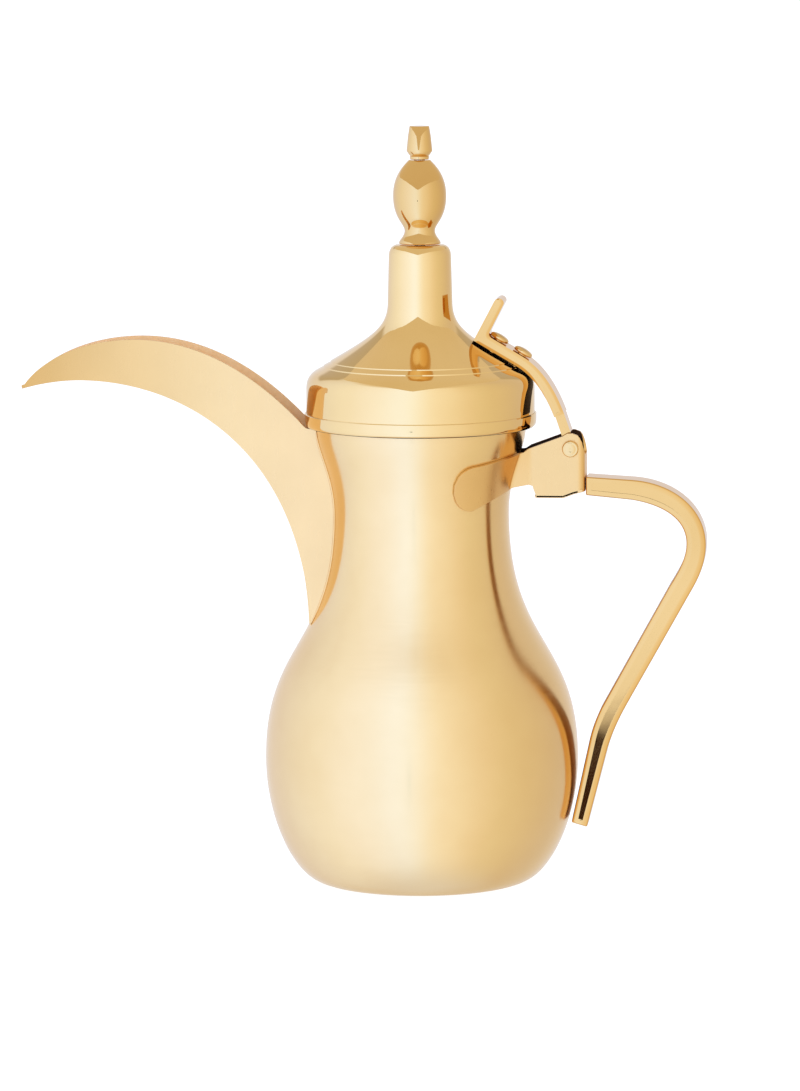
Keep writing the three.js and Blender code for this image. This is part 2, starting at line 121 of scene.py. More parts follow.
# %% Helpers that every piece uses
def start_clean():
    """Leaves edit mode's world behind: nothing is selected."""
    bpy.ops.object.select_all(action="DESELECT")


def pick(obj):
    """Makes one object the selected and active one."""
    start_clean()
    obj.select_set(True)
    bpy.context.view_layer.objects.active = obj
    return obj


def apply_modifier(obj, kind, **settings):
    """Adds a modifier, sets it and applies it at once."""
    pick(obj)
    modifier = obj.modifiers.new(kind.title(), kind)
    for key, value in settings.items():
        setattr(modifier, key, value)
    bpy.ops.object.modifier_apply(modifier=modifier.name)
    return obj


def settle(obj):
    """Puts the object at the origin, unturned, with its place in its mesh, and merges doubles."""
    pick(obj)
    bpy.ops.object.transform_apply(location=True, rotation=True, scale=True)
    bpy.ops.object.mode_set(mode="EDIT")
    bpy.ops.mesh.select_all(action="SELECT")
    bpy.ops.mesh.remove_doubles(threshold=0.01 * MM)
    bpy.ops.mesh.normals_make_consistent(inside=False)
    bpy.ops.object.mode_set(mode="OBJECT")
    return obj


def face_towards(obj, direction):
    """Turns an open skin's faces so that most of them look in a direction."""
    total = sum((f.normal * f.area for f in obj.data.polygons), Vector())
    if total.dot(Vector(direction)) < 0:
        pick(obj)
        bpy.ops.object.mode_set(mode="EDIT")
        bpy.ops.mesh.select_all(action="SELECT")
        bpy.ops.mesh.flip_normals()
        bpy.ops.object.mode_set(mode="OBJECT")
    return obj


def wall(obj, thickness, offset=-1):
    """Gives a skin its sheet thickness: offset -1 is inwards, 0 is both ways from the middle.

    The new inner side takes the piece's second material, so it can have a finish of its own."""
    obj.data.materials.append(None)
    obj.data.materials.append(None)
    return apply_modifier(obj, "SOLIDIFY", thickness=thickness * MM, offset=offset,
                          use_even_offset=True, use_quality_normals=True, material_offset=1)


def second_finish(obj, chosen):
    """Gives the piece's second material to the faces for which chosen(face) is true."""
    obj.data.materials.append(None)
    obj.data.materials.append(None)
    for face in obj.data.polygons:
        face.material_index = int(chosen(face))
    return obj


def ease_edges(obj, width, segments=3, angle=30):
    """Rounds the crisp edges, and keeps the flats between them flat to the light."""
    apply_modifier(obj, "BEVEL", width=width * MM, segments=segments, limit_method="ANGLE",
                   angle_limit=math.radians(angle), use_clamp_overlap=True)
    bpy.ops.object.shade_smooth()
    return apply_modifier(obj, "WEIGHTED_NORMAL", mode="FACE_AREA", weight=80)


def smooth(obj, angle=35):
    """Smooth shading that stays crisp at edges sharper than the angle."""
    pick(obj)
    bpy.ops.object.shade_smooth_by_angle(angle=math.radians(angle))
    return obj


made = []


def sign_off(obj, body, slot, *nodes):
    """The piece rides on a body, takes a finish slot and stands for CAD nodes."""
    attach(obj, body)
    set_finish(obj, slot)
    if nodes:
        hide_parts(*nodes)
    made.append(obj)
    print(f"{obj.name}: {len(obj.data.polygons)} faces, on {body}")
    return obj


# %% [markdown]
# ## Curves from four points
#
# A spinner draws a half section with a French curve. A Bezier curve is the same tool in numbers:
# it leaves one point towards a handle and reaches the next one from another handle. The points are
# then spaced evenly along the line, so that the rings of the mesh are evenly wide and mirror
# cleanly.

# %% Curve helpers
def bezier(a, b, c, d, steps=24):
    """Points along a cubic Bezier curve, without the first one."""
    line = []
    for i in range(1, steps + 1):
        t = i / steps
        weights = ((1 - t) ** 3, 3 * t * (1 - t) ** 2, 3 * t * t * (1 - t), t ** 3)
        line.append(tuple(sum(w * p[k] for w, p in zip(weights, (a, b, c, d))) for k in (0, 1)))
    return line


def evenly(line, count):
    """The same line with count + 1 points at equal distances."""
    far = [0.0]
    for (x0, y0), (x1, y1) in zip(line, line[1:]):
        far.append(far[-1] + math.hypot(x1 - x0, y1 - y0))
    spaced, k = [], 0
    for i in range(count + 1):
        want = far[-1] * i / count
        while k < len(line) - 2 and far[k + 1] < want:
            k += 1
        share = (want - far[k]) / (far[k + 1] - far[k])
        share = min(max(share, 0), 1)
        spaced.append(tuple(line[k][j] + share * (line[k + 1][j] - line[k][j]) for j in (0, 1)))
    return spaced


def read_off(line, x):
    """The second value of a line at x, straight between its points and level after the last."""
    for (x0, y0), (x1, y1) in zip(line, line[1:]):
        if x <= x1:
            return y0 + (y1 - y0) * (x - x0) / (x1 - x0)
    return line[-1][1]


# %% [markdown]
# ## Spinning
#
# Spun sheet and turned bar are round about one axis. In Blender such a shape can be spun from a
# half section, or raised ring by ring from a circle, as a potter does. Raising leaves no seam to
# merge, so the mirror finish has nothing to trip over: a circle is added at the first radius, and
# each next ring is extruded up and scaled about the axis.

# %% Raise a round piece ring by ring
SIDES = 144


def raise_rings(name, line, sides=SIDES):
    """Extrudes and scales a circle through a half section of (radius, height) in mm."""
    start_clean()
    (radius, height), *rest = line
    bpy.ops.mesh.primitive_circle_add(vertices=sides, radius=radius * MM,
                                      location=(0, 0, height * MM))
    obj = bpy.context.object
    obj.name = obj.data.name = name
    bpy.ops.object.mode_set(mode="EDIT")
    for wide, high in rest:
        bpy.ops.mesh.extrude_region_move(
            TRANSFORM_OT_translate={"value": (0, 0, (high - height) * MM)})
        grow = wide / radius
        bpy.ops.transform.resize(value=(grow, grow, 1), center_override=(0, 0, 0))
        radius, height = wide, high
    bpy.ops.object.mode_set(mode="OBJECT")
    return settle(obj)


# %% [markdown]
# ## The body
#
# One sheet of metal, spun over a former: flat base, belly, waist and flared mouth. Its wall is 1
# mm, added by Solidify once the outside is right, because the outside is what the eye reads.
# Behind the beak the neck is drilled with rows of straining holes, cut here with a Boolean of
# small rods.

# %% Spin the body
BASE_FLAT = 40
WAIST = (34.9, 147)
MOUTH = 41.7
BODY_WALL = 1.0

body_line = [(PLATE + 0.1, 0), (BASE_FLAT, 0)]
body_line += bezier((BASE_FLAT, 0), (BASE_FLAT + 10, 0), (BELLY, 23), (BELLY, 49))
body_line += bezier((BELLY, 49), (BELLY, 96), (WAIST[0], 93), WAIST, 40)
body_line += bezier(WAIST, (WAIST[0], 163), (MOUTH, 172.5), (MOUTH, MOUTH_Z))
radius_by_height = [(z, radius) for radius, z in body_line[1:]]


def body_radius(z):
    """Outside radius of the body at a height, in mm."""
    return read_off(radius_by_height, z)


body = raise_rings("spun_body", [body_line[0]] + evenly(body_line[1:], 110))
wall(body, BODY_WALL)
print("waist radius", round(body_radius(WAIST[1]), 2), "mm")

# %% Drill the straining holes
ROWS, ROW_PITCH, LOWEST_ROW, HOLE_RADIUS, SIDE_STEP = 7, 8.5, 115, 2, 4.5
drills = []
for row in range(ROWS):
    for y in ([0] if row % 2 == 0 else [-SIDE_STEP, SIDE_STEP]):
        start_clean()
        bpy.ops.mesh.primitive_cylinder_add(
            vertices=24, radius=HOLE_RADIUS * MM, depth=30 * MM, rotation=(0, math.pi / 2, 0),
            location=(-WAIST[0] * MM, y * MM, (LOWEST_ROW + row * ROW_PITCH) * MM))
        drills.append(bpy.context.object)
start_clean()
for drill in drills:
    drill.select_set(True)
bpy.context.view_layer.objects.active = drills[0]
bpy.ops.object.join()
drill = bpy.context.object
apply_modifier(body, "BOOLEAN", operation="DIFFERENCE", object=drill, solver="EXACT")
bpy.data.objects.remove(drill)
smooth(body, 40)
sign_off(body, "pot", "gold_polished", "body_shell")

# %% [markdown]
# ## The base plate and the mouth roll
#
# The base is closed by a disc, pressed with two shallow steps so that it stands stiff. The mouth
# ends in a small roll, which gives the lid something round to rest on.

# %% Press the base plate
low, high = span("base_plate", 2)
plate_line = [(0.5, low), (14, low), (14.8, low + 0.35), (27, low + 0.35), (28, low),
              (PLATE - 0.3, low), (PLATE, low + 0.3), (PLATE, high - 0.3), (PLATE - 0.3, high),
              (28.6, high), (27.6, high + 0.3), (15, high + 0.3), (14, high), (0.5, high)]
plate = raise_rings("base_disc", plate_line)
pick(plate)
bpy.ops.object.mode_set(mode="EDIT")
bpy.ops.mesh.select_all(action="DESELECT")
bpy.ops.mesh.select_mode(type="EDGE")
bpy.ops.mesh.select_non_manifold()
bpy.ops.mesh.edge_face_add()
bpy.ops.mesh.select_mode(type="VERT")
bpy.ops.object.mode_set(mode="OBJECT")
settle(plate)
smooth(plate)
sign_off(plate, "pot", "gold_polished", "base_plate")

# %% Roll the mouth
low, high = span("mouth_bead", 2)
outer = span("mouth_bead", 0)[1]
inner = MOUTH - BODY_WALL


def ring_section(inner, outer, low, high, corner, steps=4):
    """A closed section with rounded corners, to be raised as a ring."""
    corners = [(inner + corner, low + corner, 180), (outer - corner, low + corner, 270),
               (outer - corner, high - corner, 0), (inner + corner, high - corner, 90)]
    line = []
    for x, z, start in corners:
        for i in range(steps + 1):
            turn = math.radians(start + 90 * i / steps)
            line.append((x + corner * math.cos(turn), z + corner * math.sin(turn)))
    return line + line[:1]


mouth = raise_rings("mouth_roll", ring_section(inner, outer, low, high, 0.45 * (high - low)))
smooth(mouth)
sign_off(mouth, "pot", "gold_polished", "mouth_bead")

# %% [markdown]
# ## Sheet metal from a grid
#
# The beak and the hinge bracket are cut flat and then formed. A grid is such a blank: its
# crossings are counted along and across, and forming moves each crossing to its place on the
# finished piece. One helper does that, and each sheet piece only says where a crossing goes.

# %% Form a grid
def form_sheet(name, columns, rows, place):
    """Adds a grid and moves each crossing (u, v), both 0 to 1, to place(u, v) in mm."""
    start_clean()
    bpy.ops.mesh.primitive_grid_add(x_subdivisions=columns, y_subdivisions=rows, size=1)
    obj = bpy.context.object
    obj.name = obj.data.name = name
    for vertex in obj.data.vertices:
        x, y, z = place(vertex.co.x + 0.5, vertex.co.y + 0.5)
        vertex.co = (x * MM, y * MM, z * MM)
    return settle(obj)


# %% [markdown]
# ## The beak
#
# Two crescent plates, bent in plan like a boat's bow, meet at the tip and are closed underneath by
# a strip. The top stays open, so the beak is a gutter. Each plate lies between two curves: the
# lower edge, from the foot on the neck to the tip, and the upper edge, from the lid's band over
# the crest to the tip. Satin brushing, not a mirror, is what sets it off against the body.

# %% Curves of the beak
BEAK_ROOT_X = -39
BEAK_TIP_Z = 195.3
BEAK_SHEET = 1.0
TIP = (BEAK_TIP_X, BEAK_TIP_Z)
CREST = (-112, 215.9)
THROAT = (-134, 199.4)
FOOT = (-44.3, BEAK_FOOT_Z + 0.3)
NOTCH = (-47.2, 181.4)

upper = [(-43.4, 180.7), NOTCH] + bezier(NOTCH, (-62, 200.5), (-85, 215.9), CREST, 40)
upper += bezier(CREST, (-136, 215.9), (-153.2, 205.4), TIP, 30)
lower = [FOOT] + bezier(FOOT, (-46, 172), (-92, THROAT[1]), THROAT, 60)
lower += bezier(THROAT, (-143, THROAT[1]), (-152, 197.6), TIP, 20)
BEAK_STEPS = 110
upper, lower = evenly(upper, BEAK_STEPS), evenly(lower, BEAK_STEPS)


def beak_half(x):
    """Half width of the beak outside: an ellipse in plan, full at the neck."""
    run = (BEAK_ROOT_X - x) / (BEAK_ROOT_X - BEAK_TIP_X + 1)
    return BEAK_HALF * math.sqrt(1 - min(max(run, 0), 1) ** 2)


def root_point(v):
    """Where the plate's root meets the neck, v from 0 at the foot to 1 at the mouth."""
    z = lower[0][1] + v * (upper[0][1] - lower[0][1])
    reach = body_radius(z) + 0.1
    return -math.sqrt(reach ** 2 - (BEAK_HALF - 0.1) ** 2), z


def beak_point(u, v):
    """A point of the plate, in the side view: u from root to tip, v from lower to upper edge."""
    k = round(u * BEAK_STEPS)
    x = lower[k][0] + v * (upper[k][0] - lower[k][0])
    z = lower[k][1] + v * (upper[k][1] - lower[k][1])
    root_x, root_z = root_point(v)
    straight_x = lower[0][0] + v * (upper[0][0] - lower[0][0])
    straight_z = lower[0][1] + v * (upper[0][1] - lower[0][1])
    pull = (1 - u) ** 6
    return x + pull * (root_x - straight_x), z + pull * (root_z - straight_z)


# %% Form the two plates
def beak_plate(name, side):
    """One cheek of the beak: -1 is the near one, +1 the far one."""
    def place(u, v):
        x, z = beak_point(u, v)
        return x, side * beak_half(x), z
    plate = form_sheet(name, BEAK_STEPS, 12, place)
    face_towards(plate, (0, side, 0))
    # The inner side takes the gutter's matt gold, painted paler than the outside as painted light.
    wall(plate, BEAK_SHEET)
    return ease_edges(plate, 0.22, 2, 50)


sign_off(beak_plate("beak_cheek_near", -1), "pot", "gold_satin", "beak_side_near")
sign_off(beak_plate("beak_cheek_far", 1), "pot", "gold_satin", "beak_side_far")


# %% Close the beak underneath
KEEL_DEPTH = 0.3


def keel_place(u, v):
    """The strip lies just inside the lower edges and bows down a little in the middle."""
    k = round(u * BEAK_STEPS)
    x, z = lower[k]
    half = max(beak_half(x) - 0.6 * BEAK_SHEET, 0.2)
    across = 2 * v - 1
    before, after = lower[max(k - 1, 0)], lower[min(k + 1, BEAK_STEPS)]
    along = math.hypot(after[0] - before[0], after[1] - before[1])
    inward = ((after[1] - before[1]) / along, -(after[0] - before[0]) / along)
    lift = 0.25 + KEEL_DEPTH * across ** 2
    return x + inward[0] * lift, across * half, z + inward[1] * lift


keel = form_sheet("beak_strip", BEAK_STEPS, 8, keel_place)
face_towards(keel, (-1, 0, -1))
# The strip's inner side takes the gutter's matt gold, painted paler as painted light.
wall(keel, 0.9)
ease_edges(keel, 0.15, 2, 50)
sign_off(keel, "pot", "gold_satin", "beak_keel")

# %% [markdown]
# ## The weld along the root
#
# The plates are welded to the neck, and the weld shows as a thin rippled bead, about one ripple a
# millimetre. It is a small round bar raised along the root, whose radius swells and shrinks.

# %% Lay the weld beads
WELD_RADIUS = 0.6
WELD_STEPS = 150


def weld_point(v, side):
    """The corner between the outside of a plate and the neck, a hair proud of both."""
    _, z = root_point(v)
    y = BEAK_HALF + 0.1
    reach = body_radius(z) + 0.2
    return Vector((-math.sqrt(reach ** 2 - y ** 2), side * y, z))


def weld_bead(name, side):
    """A rippled bead in the corner between a beak plate and the neck."""
    start_clean()
    here = (weld_point(0, side) - Vector((0, 0, WELD_RADIUS))) * MM
    size = WELD_RADIUS / 2
    bpy.ops.mesh.primitive_circle_add(vertices=10, radius=size * MM, fill_type="NGON",
                                      location=here)
    bead = bpy.context.object
    bead.name = bead.data.name = name
    bpy.ops.object.mode_set(mode="EDIT")
    for step in range(WELD_STEPS + 1):
        v = step / WELD_STEPS
        there = weld_point(v, side) * MM
        ends = min(1, 8 * min(v, 1 - v) + 0.3)
        wide = ends * WELD_RADIUS * (0.82 + 0.18 * (-1) ** step)
        bpy.ops.mesh.extrude_region_move(TRANSFORM_OT_translate={"value": there - here})
        grow = wide / size
        bpy.ops.transform.resize(value=(grow, grow, 1), center_override=there)
        here, size = there, wide
    bpy.ops.object.mode_set(mode="OBJECT")
    settle(bead)
    return smooth(bead, 60)


sign_off(weld_bead("weld_bead_near", -1), "pot", "gold_satin")
sign_off(weld_bead("weld_bead_far", 1), "pot", "gold_satin")

# %% [markdown]
# ## The hinge bracket
#
# One blank of 1.2 mm sheet, folded: two arms wrap the neck, then the sheet leaves the neck in a
# tight bend, runs back as two flat cheeks and turns across at the back. It is drawn in plan for
# every height, because the neck under the arms widens upwards, and only half is formed. A Mirror
# gives the other half. In the side view the blank has a sloping top, a round end about the pivot,
# a notch in front of the cheeks and round arm ends.

# %% Plan of the folded sheet
BRACKET_HALF = 8.2
BRACKET_SHEET = 1.2
CHEEK_Y = BRACKET_HALF - BRACKET_SHEET / 2
BACK_X = BRACKET_BACK - BRACKET_SHEET / 2
BACK_TOP = 171
CHEEK_FRONT_X = 44.2
ARM_AZIMUTH = 64
ARM_END = (24.3, 160)
ARM_REACH, ARM_HEIGHT = 7.6, 9
CHEEK_ROUND = 6.1    # radius of the cheeks' round end about the pivot
# x and height of the blank's edges in the side view, from an arm's end to the back
BLANK_TOP = [(ARM_END[0], 169), (40, 172.2), (56.7, 178.4)]
BLANK_BOTTOM = [(ARM_END[0], 151), (39.5, 158.3), (42.1, 159.6), (45.1, 158.7), (46.1, 154.2),
                (57.2, 154.2), (61.1, 155.7), (BRACKET_BACK, 156.7)]


def rounded(corner, before, after, size, steps=5):
    """Points that round one corner of a path, starting and ending size away from it."""
    def towards(target):
        length = math.dist(corner, target)
        return [c + (t - c) * min(size / length, 0.5) for c, t in zip(corner, target)]
    start, end = towards(before), towards(after)
    curve = []
    for i in range(steps + 1):
        t = i / steps
        curve.append(tuple((1 - t) ** 2 * s + 2 * t * (1 - t) * c + t * t * e
                           for s, c, e in zip(start, corner, end)))
    return curve


def fold_plan(z, arm_points=26):
    """Middle line of the sheet in plan at a height, from the back to the end of an arm."""
    reach = body_radius(z) + 0.1 + BRACKET_SHEET / 2
    leave_y = CHEEK_Y + 0.9
    leave = (math.sqrt(reach ** 2 - leave_y ** 2), leave_y)
    first = math.degrees(math.asin(leave_y / reach))
    arc = []
    for i in range(1, arm_points + 1):
        turn = math.radians(first + (ARM_AZIMUTH - first) * i / arm_points)
        arc.append((reach * math.cos(turn), reach * math.sin(turn)))
    back, corner = (BACK_X, 0.0), (BACK_X, CHEEK_Y)
    front = (CHEEK_FRONT_X, CHEEK_Y)
    path = [back, (BACK_X, CHEEK_Y / 2)]
    path += rounded(corner, back, front, 2.2)
    path += [(BACK_X + (CHEEK_FRONT_X - BACK_X) * share, CHEEK_Y)
             for share in (0.2, 0.3, 0.4, 0.5, 0.6, 0.7, 0.8, 0.88, 0.94)]
    path += rounded(front, corner, leave, 0.8, 3)
    path += rounded(leave, front, arc[0], 1.6)
    return path + arc[1:]


FOLD_COUNT = len(fold_plan(165)) - 1


def fold_top(x):
    """Upper edge of the blank in the side view."""
    if x <= ARM_END[0]:
        return ARM_END[1] + ARM_HEIGHT * math.sqrt(max(1 - ((ARM_END[0] - x) / ARM_REACH) ** 2, 0))
    if x <= BLANK_TOP[-1][0]:
        return read_off(BLANK_TOP, x)
    round_x = PIVOT_X - 0.3
    return PIVOT_Z + math.sqrt(max(CHEEK_ROUND ** 2 - (x - round_x) ** 2, 0))


def fold_bottom(x):
    """Lower edge of the blank in the side view, with the notch in front of the cheeks."""
    if x <= ARM_END[0]:
        return 2 * ARM_END[1] - fold_top(x)
    return read_off(BLANK_BOTTOM, x)


def fold_place(u, v):
    """Plan position u along the sheet, height share v between its lower and upper edges."""
    k = round(u * FOLD_COUNT)
    x, y = fold_plan(165)[k]
    top = fold_top(x)
    if y < CHEEK_Y - 0.01 and x > PIVOT_X:
        top = BACK_TOP + (top - BACK_TOP) * max(0, (y - CHEEK_Y + 2.2) / 2.2) ** 2
    low = fold_bottom(x)
    z = low + v * (top - low)
    x, y = fold_plan(z)[k]
    return x, y, z


# %% Fold the bracket and mirror it
bracket = form_sheet("folded_bracket", FOLD_COUNT, 14, fold_place)
apply_modifier(bracket, "MIRROR", use_axis=(False, True, False), use_clip=True,
               merge_threshold=0.01 * MM)
settle(bracket)
# Its inner side takes the second material, a near-black painted shade.
wall(bracket, BRACKET_SHEET, offset=0)
ease_edges(bracket, 0.25, 3, 50)

# %% [markdown]
# ## Bars and straps
#
# The handle, the lever and the turned-in floor of the bracket are bars: their side view is drawn
# as an outline, filled with one face and extruded across. Buffing wears a bar's sides into a low
# crown. Insets with a little depth raise it, step by step, and leave a narrow flat in the middle.
# Then Bevel rounds the long edges. The crown is what bends the light along a polished bar.

# %% Cut a bar from its side view
def cut_bar(name, outline, half_width, crown=()):
    """Draws an outline of (x, z) in mm point by point, fills it and extrudes it along Y.

    crown holds insets of (width, rise) in mm, which the half width includes."""
    half_width -= sum(rise for _, rise in crown)
    start_clean()
    (x, z), *rest = outline
    bpy.ops.mesh.primitive_plane_add(size=MM, location=(x * MM, -half_width * MM, z * MM))
    obj = bpy.context.object
    obj.name = obj.data.name = name
    bpy.ops.object.mode_set(mode="EDIT")
    bpy.ops.mesh.select_mode(type="VERT")
    bpy.ops.mesh.merge(type="CENTER")
    for nx, nz in rest + [outline[0]]:
        bpy.ops.mesh.extrude_vertices_move(
            TRANSFORM_OT_translate={"value": ((nx - x) * MM, 0, (nz - z) * MM)})
        x, z = nx, nz
    bpy.ops.mesh.select_all(action="SELECT")
    bpy.ops.mesh.remove_doubles(threshold=0.01 * MM)
    bpy.ops.mesh.edge_face_add()
    bpy.ops.mesh.extrude_region_move(
        TRANSFORM_OT_translate={"value": (0, 2 * half_width * MM, 0)})
    bpy.ops.object.mode_set(mode="OBJECT")
    settle(obj)
    if crown:
        pick(obj)        # in face mode, or the two side faces would pull in all the rest
        bpy.ops.object.mode_set(mode="EDIT")
        bpy.ops.mesh.select_mode(type="FACE")
        bpy.ops.mesh.select_all(action="DESELECT")
        bpy.ops.object.mode_set(mode="OBJECT")
        for polygon in obj.data.polygons:
            polygon.select = abs(polygon.normal.y) > 0.9
        bpy.ops.object.mode_set(mode="EDIT")
        for width, rise in crown:
            bpy.ops.mesh.inset(thickness=width * MM, depth=rise * MM)
        bpy.ops.mesh.select_mode(type="VERT")
        bpy.ops.object.mode_set(mode="OBJECT")
    return obj


# %% Turn in the floor of the bracket
FLOOR = [(46.1, 154), (57.2, 154), (61.1, 155.5), (BACK_X, 156.5)]
floor_outline = FLOOR + [(x - 0.3, z + BRACKET_SHEET) for x, z in reversed(FLOOR)]
lip = cut_bar("bracket_floor", floor_outline, BRACKET_HALF)
ease_edges(lip, 0.3, 3)
sign_off(bracket, "pot", "gold_satin", "hinge_bracket")
sign_off(lip, "pot", "gold_satin", "hinge_bracket")

# %% [markdown]
# ## The handle
#
# A flat bar, 14 mm wide, bent like a 7: it runs back from the bracket, rounds a generous bend,
# slants down towards the belly and ends in a square foot that stays just clear of the body. It is
# a little thicker on the slant, where the fingers press. The faces that look into the loop are
# given a darker gold, a painted shade for the shade inside the bend. The body mirrors them as one
# long dark line.

# %% Bend the handle
start_x = BRACKET_BACK + 0.3
HANDLE_OUT = span("handle_bar", 0)[1]
handle_outline = [(start_x, 162.3), (84, 161.2)]
handle_outline += bezier((84, 161.2), (101, 160.2), (HANDLE_OUT, 149.5), (HANDLE_OUT, 135.5), 22)
handle_outline += bezier((HANDLE_OUT, 135.5), (HANDLE_OUT, 130), (111.5, 124.4), (108.4, 118.8), 8)
handle_outline += [(82.6, 72.6)]
handle_outline += bezier((82.6, 72.6), (78.8, 65.8), (76.3, 60), (74.6, 54.4), 10)
handle_outline += [(66.3, 22.2), (60.1, 24), (67.4, 57.5)]
handle_outline += bezier((67.4, 57.5), (68.3, 61.5), (69.8, 65.8), (72, 70.2), 10)
handle_outline += [(99, 119.2)]
handle_outline += bezier((99, 119.2), (103.2, 126), (105.6, 130.8), (105.6, 136), 8)
handle_outline += bezier((105.6, 136), (105.6, 145.5), (97, 151.2), (84, 153.3), 18)
handle_outline += [(start_x, 155)]
HANDLE_CROWN = [(0.9, 0.28), (0.6, 0.12), (0.5, 0.06), (0.4, 0.02)]
LOOP_MIDDLE = Vector((70 * MM, 0, 110 * MM))


def faces_loop(face):
    """True where a face of the handle looks into the loop."""
    return abs(face.normal.y) < 0.35 and face.normal.dot(LOOP_MIDDLE - face.center) > 0


handle = cut_bar("bent_handle", handle_outline, HANDLE_HALF, HANDLE_CROWN)
ease_edges(handle, 0.6, 4)
# The faces that look into the loop take the second material, a darker gold painted as shade.
second_finish(handle, faces_loop)
sign_off(handle, "pot", "gold_polished", "handle_bar")

# %% [markdown]
# ## The hinge pin
#
# A rivet with a low domed head on each side. Its head is pressed with a shallow ring. It is raised
# lying along Z, like every round piece, then turned to lie along Y.

# %% Head the hinge pin
PIN_RADIUS = 1.9
PIN_HEAD = span("hinge_pin", 0)[1] - PIVOT_X
PIN_HALF = span("hinge_pin", 1)[1]
FACE = BRACKET_HALF + 0.05
# radius, then depth below the top of the dome
DOME = [(0.2, 0.25), (1.1, 0.2), (2.0, 0.3), (2.35, 0.42), (2.6, 0.34), (2.85, 0.36), (3.1, 0.6),
        (PIN_HEAD, 1.0)]
head = [(r, PIN_HALF - depth) for r, depth in DOME]
head += [(PIN_HEAD, FACE + 0.15), (PIN_HEAD - 0.15, FACE)]
pin_line = [(r, -z) for r, z in head] + [(PIN_RADIUS, -FACE), (PIN_RADIUS, FACE)]
pin_line += [(r, z) for r, z in reversed(head)]


def cap_each(obj):
    """Fills each open end with its own face."""
    pick(obj)
    bpy.ops.object.mode_set(mode="EDIT")
    bpy.ops.mesh.select_all(action="SELECT")
    bpy.ops.mesh.fill_holes(sides=0)
    bpy.ops.object.mode_set(mode="OBJECT")
    return settle(obj)


pin = cap_each(raise_rings("hinge_rivet", pin_line, 48))
pin.rotation_euler = (math.pi / 2, 0, 0)
pin.location = (PIVOT_X * MM, 0, PIVOT_Z * MM)
settle(pin)
smooth(pin, 50)
sign_off(pin, "pot", "gold_polished", "hinge_pin")

# %% [markdown]
# ## The lid
#
# Spun like the body: a tall neck that flares into a shoulder with two fine turned steps, then a
# short upright wall. The steps catch light as thin lines. The wall is 0.8 mm. The underside of the
# rolled band round its edge is painted dark, a painted shade that shows as a thin dark line over
# the body.

# %% Spin the lid
LID_WALL = 0.8
LID_SIDES = 216      # finer than the rest: the lever lies close over it and shows every facet
NECK = 12.8
lid_line = [(2.3, LID_TOP), (8.6, LID_TOP)]
lid_line += bezier((8.6, LID_TOP), (11, LID_TOP), (12.1, 251.6), (12.3, 249.4), 10)
lid_line += [(NECK, 231)]
lid_line += bezier((NECK, 231), (NECK, 221), (18, 217.6), (35.4, 207.4), 36)
flare = evenly(lid_line, 70)
steps = [(35.55, 207.0), (35.9, 206.8), (38.2, 205.6), (38.4, 205.15), (38.8, 204.95),
         (40.9, 203.8)]
shoulder = evenly([steps[-1]] + bezier(steps[-1], (43.6, 202.4), (LID_RADIUS, 200.3),
                                       (LID_RADIUS, 196.5), 24), 14)
skirt = [(LID_RADIUS, z) for z in (194, 191, 188, 185.5, LID_LOW)]
lid = raise_rings("spun_lid", flare + steps + shoulder[1:] + skirt, LID_SIDES)
face_towards(lid, (0, 0, 1))
wall(lid, LID_WALL)
smooth(lid, 25)
sign_off(lid, "lid", "gold_polished", "lid_shell")

# %% Roll the band and press the seat ring
inner = LID_RADIUS + 0.05
tuck = LID_RADIUS - LID_WALL
band_line = [(inner, BAND_TOP), (BAND_RADIUS - 0.25, BAND_TOP), (BAND_RADIUS, BAND_TOP - 0.25)]
band_line += [(BAND_RADIUS, 184.4)]
band_line += bezier((BAND_RADIUS, 184.4), (BAND_RADIUS, 182.6), (LID_RADIUS + 0.2, BAND_LOW),
                    (tuck, BAND_LOW), 10)
band_line += [(tuck, LID_LOW - 0.1), (inner, LID_LOW - 0.1), (inner, BAND_TOP)]
band = raise_rings("rolled_band", band_line)
smooth(band, 40)
# The band's underside takes the second material, a dark painted shade for the shade under it.
second_finish(band, lambda face: face.normal.z < -0.75)
sign_off(band, "lid", "gold_polished", "lid_band")

SEAT_OUTER = span("lid_seat_ring", 0)[1]
dip, sheet_top = span("lid_seat_ring", 2)
flange = 38.2
seat = sheet_top - LID_WALL
seat_line = [(flange - LID_WALL, dip), (flange, dip), (flange, seat - 1),
             (flange + 0.3, seat - 0.3), (flange + 1, seat), (SEAT_OUTER, seat),
             (SEAT_OUTER, sheet_top), (flange + 0.4, sheet_top), (flange - 0.5, sheet_top - 0.6),
             (flange - LID_WALL, seat - 0.8), (flange - LID_WALL, dip)]
seat_ring = raise_rings("seat_pressing", seat_line)
smooth(seat_ring, 40)
sign_off(seat_ring, "lid", "gold_polished", "lid_seat_ring")

# %% [markdown]
# ## The thumb lever
#
# A thick strap: a thumb tab that stands up, a sharp bend, a straight that lies over the lid, and a
# long curve down to the hinge. Near the hinge the strap steps down to a narrower tang that fits
# between the cheeks and ends in an eye round the pin. The two bars are joined with a Boolean.

